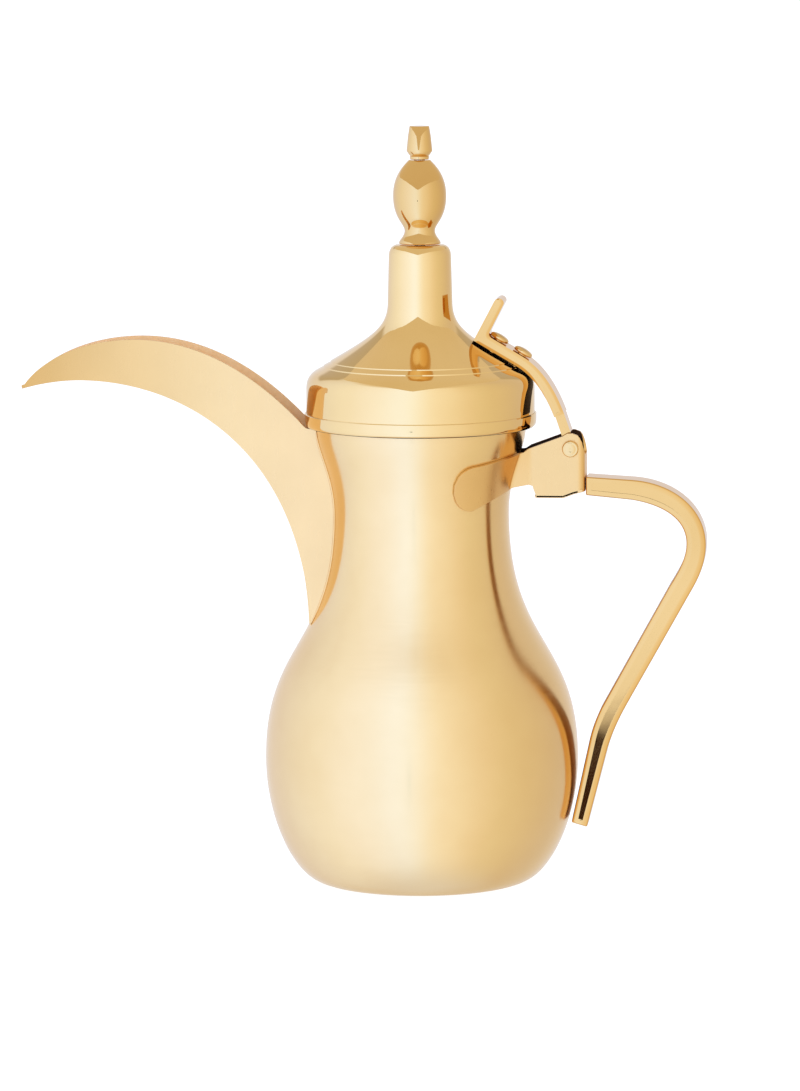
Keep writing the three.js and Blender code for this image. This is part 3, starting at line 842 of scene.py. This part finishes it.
# %% Forge the lever
STRAP_SLOPE = math.atan2(0.508, 0.861)
TANG_HALF = 5.7      # leaves room for the bent corners of the bracket when the lid is open
TANG_THICK = 3.7
EYE_RADIUS = 3.9
STRAP_FOOT_Z = 186
strap = [(21.7, 216.1), (29.9, 231.6)]
strap += bezier((29.9, 231.6), (30.6, 233.1), (32.6, 233.2), (33.4, 231.9), 6)
strap += bezier((33.4, 231.9), (33.7, 231.4), (33.9, 230.9), (33.6, 230.3), 3)
strap += [(28.1, 219.4)]
strap += bezier((28.1, 219.4), (27.6, 218.4), (27.8, 217.7), (28.8, 217.1), 5)
strap += [(41.4, 209.6)]
strap += bezier((41.4, 209.6), (48.2, 205.4), (53.4, 198), (57.4, 187.4), 22)
strap += [(53.5, 185.9)]
strap += bezier((53.5, 185.9), (50.2, 194.6), (45.4, 201.8), (39.4, 205.6), 22)
strap += [(23.2, 215.2)]
STRAP_CROWN = [(0.7, 0.2), (0.4, 0.07), (0.3, 0.02)]
lever = cut_bar("thumb_lever", strap, STRAP_HALF, STRAP_CROWN)

tang_top = (54.9, 188.6)
turn = math.atan2(PIVOT_Z - tang_top[1], PIVOT_X - tang_top[0])
side = (-math.sin(turn) * TANG_THICK / 2, math.cos(turn) * TANG_THICK / 2)
tang = [(tang_top[0] + side[0], tang_top[1] + side[1]),
        (tang_top[0] - side[0], tang_top[1] - side[1])]
for i in range(31):
    angle = turn + math.pi * (-0.84 + 1.68 * i / 30)
    tang.append((PIVOT_X + EYE_RADIUS * math.cos(angle), PIVOT_Z + EYE_RADIUS * math.sin(angle)))
tang_bar = cut_bar("tang", tang, TANG_HALF)
apply_modifier(lever, "BOOLEAN", operation="UNION", object=tang_bar, solver="EXACT")
bpy.data.objects.remove(tang_bar)
start_clean()
bpy.ops.mesh.primitive_cylinder_add(vertices=32, radius=(PIN_RADIUS + 0.2) * MM, depth=40 * MM,
                                    rotation=(math.pi / 2, 0, 0),
                                    location=(PIVOT_X * MM, 0, PIVOT_Z * MM))
reamer = bpy.context.object
apply_modifier(lever, "BOOLEAN", operation="DIFFERENCE", object=reamer, solver="EXACT")
bpy.data.objects.remove(reamer)
ease_edges(lever, 0.4, 4, 40)


def lies_under(face):
    """True for the strap's underside, above the step to the tang."""
    downhill = Vector((-math.sin(STRAP_SLOPE), 0, -math.cos(STRAP_SLOPE)))
    above_step = face.center.z > STRAP_FOOT_Z * MM
    return abs(face.normal.y) < 0.3 and above_step and face.normal.dot(downhill) > 0.6


# The strap's underside takes the second material, a near-black painted shade for the gap over the lid.
second_finish(lever, lies_under)
sign_off(lever, "lid", "gold_polished", "lid_lever")

# %% [markdown]
# ## The lever's rivets
#
# Two rivets hold the strap on the lid. One is modelled, standing at the origin, then copied twice,
# and each copy is set square to the strap where its CAD rivet stands.

# %% Set the rivets
RIVET_HEAD = 3.9
RIVET_SHANK = 1.9
SHANK_LENGTH = 8.6
rivet_line = [(0.2, 2.15), (1.6, 2.05), (2.6, 1.85), (3.3, 1.6), (3.7, 1.3), (RIVET_HEAD, 0.95),
              (RIVET_HEAD, 0.2), (RIVET_HEAD - 0.15, 0.05), (RIVET_SHANK, 0.05),
              (RIVET_SHANK, -SHANK_LENGTH + 0.3), (RIVET_SHANK - 0.3, -SHANK_LENGTH)]
pattern = cap_each(raise_rings("rivet_pattern", rivet_line, 48))
smooth(pattern, 50)
lean, rise = math.sin(STRAP_SLOPE), math.cos(STRAP_SLOPE)
for end in ("front", "rear"):
    name, node = "lid_rivet_" + end, "lever_rivet_" + end
    rivet = pattern.copy()
    rivet.data = pattern.data.copy()
    rivet.name = rivet.data.name = name
    bpy.context.scene.collection.objects.link(rivet)
    rivet.rotation_euler = (0, STRAP_SLOPE, 0)
    foot_x = span(node, 0)[0] + SHANK_LENGTH * lean + RIVET_SHANK * rise
    foot_z = span(node, 2)[0] + SHANK_LENGTH * rise + RIVET_SHANK * lean
    rivet.location = (foot_x * MM, 0, foot_z * MM)
    settle(rivet)
    print(name, "foot at", round(foot_x, 2), round(foot_z, 2), "mm")
    sign_off(rivet, "lid", "gold_polished", node)
bpy.data.objects.remove(pattern)

# %% [markdown]
# ## The finial
#
# An egg on a waisted foot, turned from bar, and a small tapered cap screwed on above it.

# %% Turn the finial
FOOT_RADIUS = 8.3
WAIST_RADIUS = 6.0
egg_line = [(2.3, FINIAL_LOW), (FOOT_RADIUS - 0.3, FINIAL_LOW), (FOOT_RADIUS, FINIAL_LOW + 0.3)]
egg_curve = [(FOOT_RADIUS, FINIAL_LOW + 0.3)]
egg_curve += bezier(egg_curve[0], (8.1, 255.4), (WAIST_RADIUS, 256.6), (WAIST_RADIUS, 258.8), 12)
egg_curve += bezier((WAIST_RADIUS, 258.8), (WAIST_RADIUS, 261.4), (EGG, 263.6), (EGG, 272.6), 22)
egg_curve += bezier((EGG, 272.6), (EGG, 280), (7, 284), (4.2, FINIAL_HIGH), 20)
egg_line += evenly(egg_curve, 56)[1:] + [(2.3, FINIAL_HIGH), (2.3, FINIAL_LOW)]
egg = raise_rings("finial_egg", egg_line, 96)
smooth(egg, 40)
sign_off(egg, "lid", "gold_polished", "finial_body")

cap_line = [(2.3, TIP_LOW), (3.6, TIP_LOW), (3.75, TIP_LOW + 0.15), (3.8, TIP_LOW + 1.1),
            (3.65, TIP_LOW + 1.25), (3.8, TIP_LOW + 1.4), (4.1, TIP_LOW + 1.75),
            (5.0, TIP_LOW + 3.1), (5.1, TIP_LOW + 3.5), (5.05, TIP_LOW + 3.9), (4.5, 296.2),
            (3.95, TOP - 0.35), (3.88, TOP - 0.12), (3.7, TOP), (2, TOP), (0.2, TOP)]
cap = cap_each(raise_rings("finial_cap", cap_line, 72))
smooth(cap, 40)
sign_off(cap, "lid", "gold_polished", "finial_tip")

# %% [markdown]
# ## Nodes for a finish
#
# Each finish is a small graph of shader nodes. One helper adds a node, sets its sockets and links
# what feeds it, and one turns a hex colour, as a paint chart gives it, into linear light.

# %% Node helpers
def colour(hex_value):
    """sRGB hex to the linear colour that shaders use."""
    channels = [int(hex_value[i:i + 2], 16) / 255 for i in (1, 3, 5)]
    linear = [c / 12.92 if c <= 0.04045 else ((c + 0.055) / 1.055) ** 2.4 for c in channels]
    return (*linear, 1.0)


def add(tree, kind, inputs=None, stops=(), **settings):
    """Adds a node, sets its properties, and sets or links its inputs.

    stops are a colour ramp's pairs of position and linear colour."""
    node = tree.nodes.new(kind)
    for key, value in settings.items():
        setattr(node, key, value)
    for key, value in (inputs or {}).items():
        if isinstance(value, bpy.types.NodeSocket):
            tree.links.new(value, node.inputs[key])
        else:
            node.inputs[key].default_value = value
    if stops:
        while len(node.color_ramp.elements) < len(stops):
            node.color_ramp.elements.new(1)
        for element, (position, shade) in zip(node.color_ramp.elements, stops):
            element.position, element.color = position, shade
    return node


def new_material(name):
    """An empty material, its tree, and the object coordinates that its patterns read."""
    material = bpy.data.materials.new(name)
    material.use_nodes = True
    tree = material.node_tree
    tree.nodes.clear()
    return material, tree, add(tree, "ShaderNodeTexCoord").outputs["Object"]


# %% [markdown]
# ## Mirror-polished, gold-toned steel
#
# Stainless sheet, buffed to a mirror and coated in a vacuum with a hard gold-coloured film. To the
# eye it is nearly a clean mirror with a warm tint. What tells it from a computer's mirror is
# faint: the film is a shade deeper in places, fingers leave dull patches, and a buffed wall is
# never perfectly true, so straight reflections waver a little. The gold is palest on the lid's
# sheet and a shade deeper on what is turned; the solid bars are deeper still, a painted shade for
# the darker room that their flat faces mirror.

# %% Gold polished
WAVE_MM = 16         # length of the slow waves that buffing leaves
SMUDGE_MM = 26       # size of a dull patch
FILM_MM = 41.6       # size of a patch with a deeper film
GRAIN_MM = 0.6       # lathe lines are finer, and are drawn as coarse as it takes to see them


def gold_polished(name, deep, pale, clean, dull):
    """Mirror finish: the film's two shades, and the roughness of clean and of dull patches."""
    material, tree, place = new_material(name)
    film = add(tree, "ShaderNodeTexNoise", {"Vector": place, "Scale": 1 / (FILM_MM * MM),
                                            "Detail": 3.0, "Roughness": 0.5})
    tone = add(tree, "ShaderNodeValToRGB", {"Fac": film.outputs["Fac"]},
               [(0.35, colour(deep)), (0.65, colour(pale))])
    smudge = add(tree, "ShaderNodeTexNoise", {"Vector": place, "Scale": 1 / (SMUDGE_MM * MM),
                                              "Detail": 5.0, "Roughness": 0.62, "Distortion": 0.4})
    rough = add(tree, "ShaderNodeMapRange", {"Value": smudge.outputs["Fac"], "From Min": 0.35,
                                             "From Max": 0.75, "To Min": clean, "To Max": dull})
    wave = add(tree, "ShaderNodeTexNoise", {"Vector": place, "Scale": 1 / (WAVE_MM * MM),
                                            "Detail": 1.0})
    bump = add(tree, "ShaderNodeBump", {"Height": wave.outputs["Fac"], "Strength": 0.03,
                                        "Distance": 0.0004})
    shader = add(tree, "ShaderNodeBsdfPrincipled",
                 {"Base Color": tone.outputs["Color"], "Roughness": rough.outputs["Result"],
                  "Normal": bump.outputs["Normal"], "Metallic": 1.0})
    add(tree, "ShaderNodeOutputMaterial", {"Surface": shader.outputs["BSDF"]})
    return material


# %% [markdown]
# ## Hairline-polished body
#
# The body is polished turning in a lathe, so its scratches are hair-fine rings. Across such rings
# a reflection is smeared up and down by some fifteen degrees, while to the sides it stays fairly
# crisp: a highlight becomes an upright streak, floor and ceiling melt away, and the handle beside
# the wall still shows as a clear line. Anisotropic does that, with a tangent that runs up the
# wall.

# %% Gold hairline
def gold_hairline():
    material, tree, place = new_material("gold_toned_lathe_hairline")
    film = add(tree, "ShaderNodeTexNoise", {"Vector": place, "Scale": 1 / (FILM_MM * MM),
                                            "Detail": 4.0, "Roughness": 0.55})
    tone = add(tree, "ShaderNodeValToRGB", {"Fac": film.outputs["Fac"]},
               [(0.35, colour("#E9C280")), (0.65, colour("#EDC887"))])
    rings = add(tree, "ShaderNodeMapping", {"Vector": place, "Scale": (0.03, 0.03, 1)})
    scratch = add(tree, "ShaderNodeTexNoise", {"Vector": rings.outputs["Vector"],
                                               "Scale": 1 / (GRAIN_MM * MM), "Detail": 3.0,
                                               "Roughness": 0.6})
    rough = add(tree, "ShaderNodeMapRange", {"Value": scratch.outputs["Fac"], "From Min": 0.3,
                                             "From Max": 0.7, "To Min": 0.19, "To Max": 0.24})
    bump = add(tree, "ShaderNodeBump", {"Height": scratch.outputs["Fac"], "Strength": 0.02,
                                        "Distance": 0.0001})
    around = add(tree, "ShaderNodeTangent", direction_type="RADIAL", axis="Z")
    shader = add(tree, "ShaderNodeBsdfPrincipled",
                 {"Base Color": tone.outputs["Color"], "Roughness": rough.outputs["Result"],
                  "Normal": bump.outputs["Normal"], "Tangent": around.outputs["Tangent"],
                  "Anisotropic": 0.9, "Anisotropic Rotation": 0.25, "Metallic": 1.0})
    add(tree, "ShaderNodeOutputMaterial", {"Surface": shader.outputs["BSDF"]})
    return material


# %% [markdown]
# ## Satin-brushed, gold-toned steel
#
# The beak and the bracket are brushed before coating: fine parallel scratches that spread a
# reflection into a soft, even sheen. Their gold is darkest at the beak's tip and palest at its root:
# painted shade for the tent's light, which falls off towards the tip and towards the back.

# %% Gold satin
BRUSH_MM = 0.5       # spacing of the scratches as drawn
BRUSH_RUN = 25       # a scratch is this many times longer than it is wide
# x in mm along the pot, then the painted shade of the gold there
PAINTED_FALLOFF = [(-148, "#D39E52"), (-110, "#DFAE64"), (-75, "#E7BA73"), (-45, "#E8BB76"), (50, "#E3B46C")]


def gold_satin():
    material, tree, place = new_material("gold_toned_satin_brushed")
    along = add(tree, "ShaderNodeSeparateXYZ", {"Vector": place}).outputs["X"]
    first, last = PAINTED_FALLOFF[0][0], PAINTED_FALLOFF[-1][0]
    # The gold darkens towards the tip and the back: painted shade for the tent's light falling off.
    share = add(tree, "ShaderNodeMapRange", {"Value": along, "From Min": first * MM,
                                             "From Max": last * MM})
    tone = add(tree, "ShaderNodeValToRGB", {"Fac": share.outputs["Result"]},
               [((x - first) / (last - first), colour(shade)) for x, shade in PAINTED_FALLOFF])
    cloud = add(tree, "ShaderNodeTexNoise", {"Vector": place, "Scale": 1 / (SMUDGE_MM * MM),
                                             "Detail": 3.0})
    value = add(tree, "ShaderNodeMapRange", {"Value": cloud.outputs["Fac"], "From Min": 0.3,
                                             "From Max": 0.7, "To Min": 0.97, "To Max": 1.03})
    shaded = add(tree, "ShaderNodeHueSaturation", {"Color": tone.outputs["Color"],
                                                   "Value": value.outputs["Result"]})
    upright = add(tree, "ShaderNodeMapping", {"Vector": place, "Scale": (1, 1, 1 / BRUSH_RUN)})
    brush = add(tree, "ShaderNodeTexNoise", {"Vector": upright.outputs["Vector"],
                                             "Scale": 1 / (BRUSH_MM * MM), "Detail": 3.0,
                                             "Roughness": 0.6})
    rough = add(tree, "ShaderNodeMapRange", {"Value": brush.outputs["Fac"], "From Min": 0.3,
                                             "From Max": 0.7, "To Min": 0.27, "To Max": 0.33})
    bump = add(tree, "ShaderNodeBump", {"Height": brush.outputs["Fac"], "Strength": 0.025,
                                        "Distance": 0.0001})
    shader = add(tree, "ShaderNodeBsdfPrincipled",
                 {"Base Color": shaded.outputs["Color"], "Roughness": rough.outputs["Result"],
                  "Normal": bump.outputs["Normal"], "Metallic": 1.0})
    add(tree, "ShaderNodeOutputMaterial", {"Surface": shader.outputs["BSDF"]})
    return material


# %% [markdown]
# ## Hidden sides: matt metal, painted light and painted shade
#
# No brush reaches the gutter of the beak, so it is a matt gold that catches light from above; its
# gold is also painted paler than the outside, as painted light. The inner faces of the handle are a
# darker matt gold, painted shade. The inside of the folded bracket and the undersides of the lever
# and of the lid's band are a near-black painted shade, so they read as black gaps. The inside of
# the pot and its small parts are bare stainless steel, drawn a little warm because the tent's light
# is a little blue.

# %% Matt metal
def matt_metal(name, deep, pale, rough_low, rough_high, metal, grain_mm):
    """Matt metal, also the painted light and painted shade of hidden faces: two shades, a roughness range, how
    metallic, and the size of its grain.
    """
    material, tree, place = new_material(name)
    marks = add(tree, "ShaderNodeTexNoise", {"Vector": place, "Scale": 1 / (grain_mm * MM),
                                             "Detail": 4.0})
    tone = add(tree, "ShaderNodeValToRGB", {"Fac": marks.outputs["Fac"]},
               [(0.3, colour(deep)), (0.7, colour(pale))])
    rough = add(tree, "ShaderNodeMapRange", {"Value": marks.outputs["Fac"], "From Min": 0.3,
                                             "From Max": 0.7, "To Min": rough_low,
                                             "To Max": rough_high})
    bump = add(tree, "ShaderNodeBump", {"Height": marks.outputs["Fac"], "Strength": 0.1,
                                        "Distance": 0.0001})
    shader = add(tree, "ShaderNodeBsdfPrincipled",
                 {"Base Color": tone.outputs["Color"], "Roughness": rough.outputs["Result"],
                  "Normal": bump.outputs["Normal"], "Metallic": metal})
    add(tree, "ShaderNodeOutputMaterial", {"Surface": shader.outputs["BSDF"]})
    return material


# %% Dress every piece
mirror = gold_polished("gold_toned_mirror_polish", "#E9C17B", "#EDC782", 0.03, 0.075)
turned_bar = gold_polished("gold_toned_turned_bar", "#E0B46C", "#E5BB75", 0.03, 0.06)
# The bars' deeper gold is painted shade for the darker room their flat faces mirror.
bar_painted_shade = gold_polished("gold_toned_polished_bar", "#DBA658", "#E0AD60", 0.025, 0.055)
hairline = gold_hairline()
satin = gold_satin()
# gutter: matt gold for the beak's inner faces, painted paler than the outside as painted light.
gutter = matt_metal("gold_toned_unbuffed", "#F6CE88", "#FCD693", 0.42, 0.52, 0.4, 3.0)
# The handle's loop faces: a darker gold, painted shade for the shade inside the bend.
loop_painted_shade = matt_metal("gold_toned_unbuffed_bar", "#9A6526", "#A87233", 0.3, 0.4, 1.0, 3.0)
# scale: a near-black painted shade for the bracket's inside and the undersides of the lever and the band.
scale = matt_metal("heat_darkened_steel", "#2E1E12", "#3F2A18", 0.4, 0.6, 0.9, 1.5)
steel = matt_metal("bare_stainless", "#BCAC8A", "#D0C09E", 0.25, 0.42, 1.0, 0.8)

by_slot = {"gold_polished": mirror, "gold_satin": satin, "plain_steel": steel}
wardrobe = [(hairline, steel, "spun_body base_disc"), (mirror, steel, "spun_lid"),
            (mirror, scale, "rolled_band"), (bar_painted_shade, loop_painted_shade, "bent_handle"),
            (bar_painted_shade, scale, "thumb_lever"), (satin, scale, "folded_bracket"),
            (satin, gutter, "beak_cheek_near beak_cheek_far beak_strip"),
            (turned_bar, turned_bar, "finial_egg finial_cap hinge_rivet"),
            (turned_bar, turned_bar, "lid_rivet_front lid_rivet_rear")]
by_piece = {name: (outside, inside) for outside, inside, names in wardrobe
            for name in names.split()}
slot_of = {row["node"]: row["material_slot"] for row in frame["record"]["subparts"]}
for node in frame["nodes"].values():
    node.data.materials.clear()
    node.data.materials.append(by_slot[slot_of[node.name]])
for piece in made:
    outside, inside = by_piece.get(piece.name, (by_slot[piece["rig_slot"]],) * 2)
    sides = [polygon.material_index for polygon in piece.data.polygons]
    piece.data.materials.clear()
    piece.data.materials.append(outside)
    if any(sides):
        piece.data.materials.append(inside)
        piece.data.polygons.foreach_set("material_index", sides)
print(len(made), "new pieces dressed")

# %% [markdown]
# ## The light tent
#
# A polished pot shows the room, not itself. Small metal ware is therefore lit in a tent of white
# cloth: broad and soft, brightest beside the camera, duller to the right and behind. The tent is
# the world shader here: it reads the direction of a ray, turns it into an angle round the
# pot and an angle above the horizon, and looks up how bright the cloth is there. The camera itself
# sees plain white behind the pot.

# %% Build the tent
CAMERA_SIDE = 5.5    # degrees round from -Y, towards the handle
TENT_PEAK = 3.2      # brightest value in the tent, since a colour ramp holds values up to 1
# degrees round from the camera, then how bright the cloth is in red, green and blue
WALLS = [(-180, .86, .87, .92), (-150, .88, .92, 1.05), (-123, .98, 1.16, 1.75),
         (-99, 1.06, 1.26, 1.90), (-81, 1.12, 1.35, 2.06), (-64, 1.15, 1.41, 2.32),
         (-48, 1.18, 1.48, 2.52), (-34, 1.19, 1.54, 2.75), (-20, 1.20, 1.61, 3.05),
         (-7, 1.19, 1.55, 2.70), (7, 1.15, 1.34, 1.88), (20, 1.12, 1.24, 1.60),
         (34, 1.07, 1.16, 1.40), (48, 1.02, 1.04, 1.15), (64, .94, .96, .97), (80, .90, .90, .90),
         (99, .85, .84, .86), (122, .78, .76, .84), (150, .82, .82, .86), (180, .86, .87, .92)]


def cloth_colour(brightness):
    """A brightness in red, green and blue as a share of the tent's peak."""
    return (*(value / TENT_PEAK for value in brightness), 1)


world = bpy.data.worlds.new("light_tent")
bpy.context.scene.world = world
world.use_nodes = True
tree = world.node_tree
tree.nodes.clear()
ray = add(tree, "ShaderNodeTexCoord").outputs["Generated"]
parts = add(tree, "ShaderNodeSeparateXYZ", {"Vector": ray})
back = add(tree, "ShaderNodeMath", {0: parts.outputs["Y"], 1: -1.0}, operation="MULTIPLY")
round_angle = add(tree, "ShaderNodeMath", {0: parts.outputs["X"], 1: back.outputs[0]},
                  operation="ARCTAN2")
from_camera = add(tree, "ShaderNodeMath", {0: round_angle.outputs[0],
                                           1: math.radians(CAMERA_SIDE)}, operation="SUBTRACT")
turn = add(tree, "ShaderNodeMath", {0: from_camera.outputs[0], 1: math.pi, 2: -math.pi},
           operation="WRAP").outputs[0]
share = add(tree, "ShaderNodeMapRange", {"Value": turn, "From Min": -math.pi, "From Max": math.pi})
walls = add(tree, "ShaderNodeValToRGB", {"Fac": share.outputs[0]},
            [((turned + 180) / 360, cloth_colour(rgb)) for turned, *rgb in WALLS])
walls.color_ramp.interpolation = "B_SPLINE"
cloth = walls.outputs["Color"]
print("tent walls in", len(WALLS), "stops")

# %% [markdown]
# ## Darker places in the tent
#
# Over the walls go four patches, each between two heights and, for two of them, two turns: the
# dull roof, a darker strip high at the back, the pale table below, and a narrow slit beside the
# camera where two cloths don't meet. A flat, upright bar finds that slit: it is the dark stripe in
# the handle's foot.

# %% Hang the patches
height = add(tree, "ShaderNodeMath", {0: parts.outputs["Z"]}, operation="ARCSINE").outputs[0]
away = add(tree, "ShaderNodeMath", {0: turn}, operation="ABSOLUTE").outputs[0]
# lists of (angle, from, to, softness) in degrees, then the brightness
PATCHES = {"roof": ([(height, 55, 200, 10)], (0.86, 0.84, 0.84)),
           "back": ([(height, 21, 42, 4), (away, 140, 300, 8)], (0.60, 0.58, 0.56)),
           "table": ([(height, -200, -66, 26)], (0.88, 1.02, 1.55)),
           "slit": ([(height, -11.5, -9.3, 0.1), (turn, -10.6, -8.2, 0.3)], (0.05, 0.03, 0.03))}


def window(angle, low, high, soft):
    """1 where an angle is between low and high degrees, 0 outside, with soft edges."""
    low, high, soft = (math.radians(value) for value in (low, high, soft))
    enter = add(tree, "ShaderNodeMapRange", {"Value": angle, "From Min": low - soft / 2,
                                             "From Max": low + soft / 2})
    leave = add(tree, "ShaderNodeMapRange", {"Value": angle, "From Min": high - soft / 2,
                                             "From Max": high + soft / 2, "To Min": 1.0,
                                             "To Max": 0.0})
    return add(tree, "ShaderNodeMath", {0: enter.outputs[0], 1: leave.outputs[0]},
               operation="MULTIPLY").outputs[0]


for name, (sides, brightness) in PATCHES.items():
    cover = window(*sides[0])
    for side in sides[1:]:
        cover = add(tree, "ShaderNodeMath", {0: cover, 1: window(*side)},
                    operation="MULTIPLY").outputs[0]
    cloth = add(tree, "ShaderNodeMix", {"Factor": cover, 6: cloth, 7: cloth_colour(brightness)},
                data_type="RGBA").outputs[2]
tent = add(tree, "ShaderNodeBackground", {"Color": cloth, "Strength": TENT_PEAK})
plain = add(tree, "ShaderNodeBackground", {"Color": (1, 1, 1, 1), "Strength": 1.0})
sight = add(tree, "ShaderNodeLightPath").outputs["Is Camera Ray"]
seen = add(tree, "ShaderNodeMixShader", {0: sight, 1: tent.outputs[0], 2: plain.outputs[0]})
add(tree, "ShaderNodeOutputWorld", {"Surface": seen.outputs[0]})
print("patches:", ", ".join(PATCHES))

# %% [markdown]
# ## Cards
#
# The floor is one broad white sheet that only the camera sees. Over the finial hangs a grey card
# with a point towards the camera. Only mirrors see it: it draws the crisp V on the finial, the
# lid's neck and the shoulder. Its point is short, so that the belly hardly sees it.

# %% Lay the floor and hang the card
def card(name, height, outline, shade, pale, glow, tint=(1, 1, 1)):
    """A sheet at a height in mm, its edge drawn by outline(turn) in mm, softly mottled."""
    start_clean()
    bpy.ops.mesh.primitive_circle_add(vertices=180, radius=1, fill_type="NGON")
    sheet = bpy.context.object
    sheet.name = sheet.data.name = name
    for vertex in sheet.data.vertices:
        turned = math.degrees(math.atan2(vertex.co.x, -vertex.co.y))
        reach = outline((turned - CAMERA_SIDE + 180) % 360 - 180) * MM
        vertex.co = (vertex.co.x * reach, vertex.co.y * reach, height * MM)
    material, tree, place = new_material(name + "_card")
    mottle = add(tree, "ShaderNodeTexNoise", {"Vector": place, "Scale": 40.0, "Detail": 2.0})
    tone = add(tree, "ShaderNodeValToRGB", {"Fac": mottle.outputs["Fac"]},
               [(0.3, colour(shade)), (0.7, colour(pale))])
    shader = add(tree, "ShaderNodeBsdfPrincipled",
                 {"Base Color": tone.outputs["Color"], "Roughness": 0.9, "Specular IOR Level": 0.0,
                  "Emission Color": (*tint, 1), "Emission Strength": glow})
    add(tree, "ShaderNodeOutputMaterial", {"Surface": shader.outputs["BSDF"]})
    sheet.data.materials.append(material)
    sheet.visible_diffuse = False
    sheet.visible_shadow = False
    sheet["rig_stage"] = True
    return sheet


POINT_TURN = -8      # the card's point looks a little left of the camera
# degrees to either side of the point, then how far the card's edge is from the axis in mm
CARD_EDGE = [(0, 212), (7.5, 178), (15, 148), (30, 115), (45, 97), (60, 90), (90, 95), (120, 125),
             (150, 140), (190, 140)]


def kite(turned):
    """Edge of the hanging card in plan."""
    return read_off(CARD_EDGE, abs(turned - POINT_TURN))


floor = card("floor", -0.6, lambda turned: 14000, "#8E8E8E", "#989898", 0.9)
floor.visible_glossy = False
hanging = card("hanging", 320, kite, "#202020", "#2A2A2A", 0.80, (1.0, 0.95, 0.88))
hanging.visible_camera = False
print("floor and hanging card in place")

# %% [markdown]
# ## The camera
#
# A long lens from well back: 2.4 m away and 7.6 degrees above the horizon, a little round towards
# the handle. A long lens keeps the round mouth a narrow ellipse and the upright lines upright.

# %% Set the camera
DISTANCE, CAMERA_HEIGHT = 2.4, 0.456
YAW, PITCH, ROLL = 0.2, 7.65, -0.27
LENS, SENSOR = 201.4, 36
swing = math.radians(CAMERA_SIDE)
camera_data = bpy.data.cameras.new("camera")
camera = bpy.data.objects.new("camera", camera_data)
bpy.context.scene.collection.objects.link(camera)
camera.location = (DISTANCE * math.sin(swing), -DISTANCE * math.cos(swing), CAMERA_HEIGHT)
aim = math.radians(CAMERA_SIDE + YAW)
dip_angle = math.radians(PITCH)
forward = Vector((-math.sin(aim) * math.cos(dip_angle), math.cos(aim) * math.cos(dip_angle),
                  -math.sin(dip_angle)))
turn_about = forward.to_track_quat("-Z", "Y").to_matrix().to_4x4()
camera.matrix_world = (Matrix.Translation(camera.location) @ turn_about
                       @ Matrix.Rotation(math.radians(ROLL), 4, "Z"))
camera_data.lens = LENS
camera_data.sensor_width = SENSOR
camera_data.clip_start, camera_data.clip_end = 0.05, 60
bpy.context.scene.camera = camera
scene = bpy.context.scene
scene.view_settings.view_transform = "Standard"
scene.view_settings.look = "None"
print("camera", tuple(round(c, 4) for c in camera.location), "lens", LENS)

# %% Print the box of all that renders
bpy.context.view_layer.update()
low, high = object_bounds()
print("visual", [round(c / MM, 1) for c in (*low, *high)])
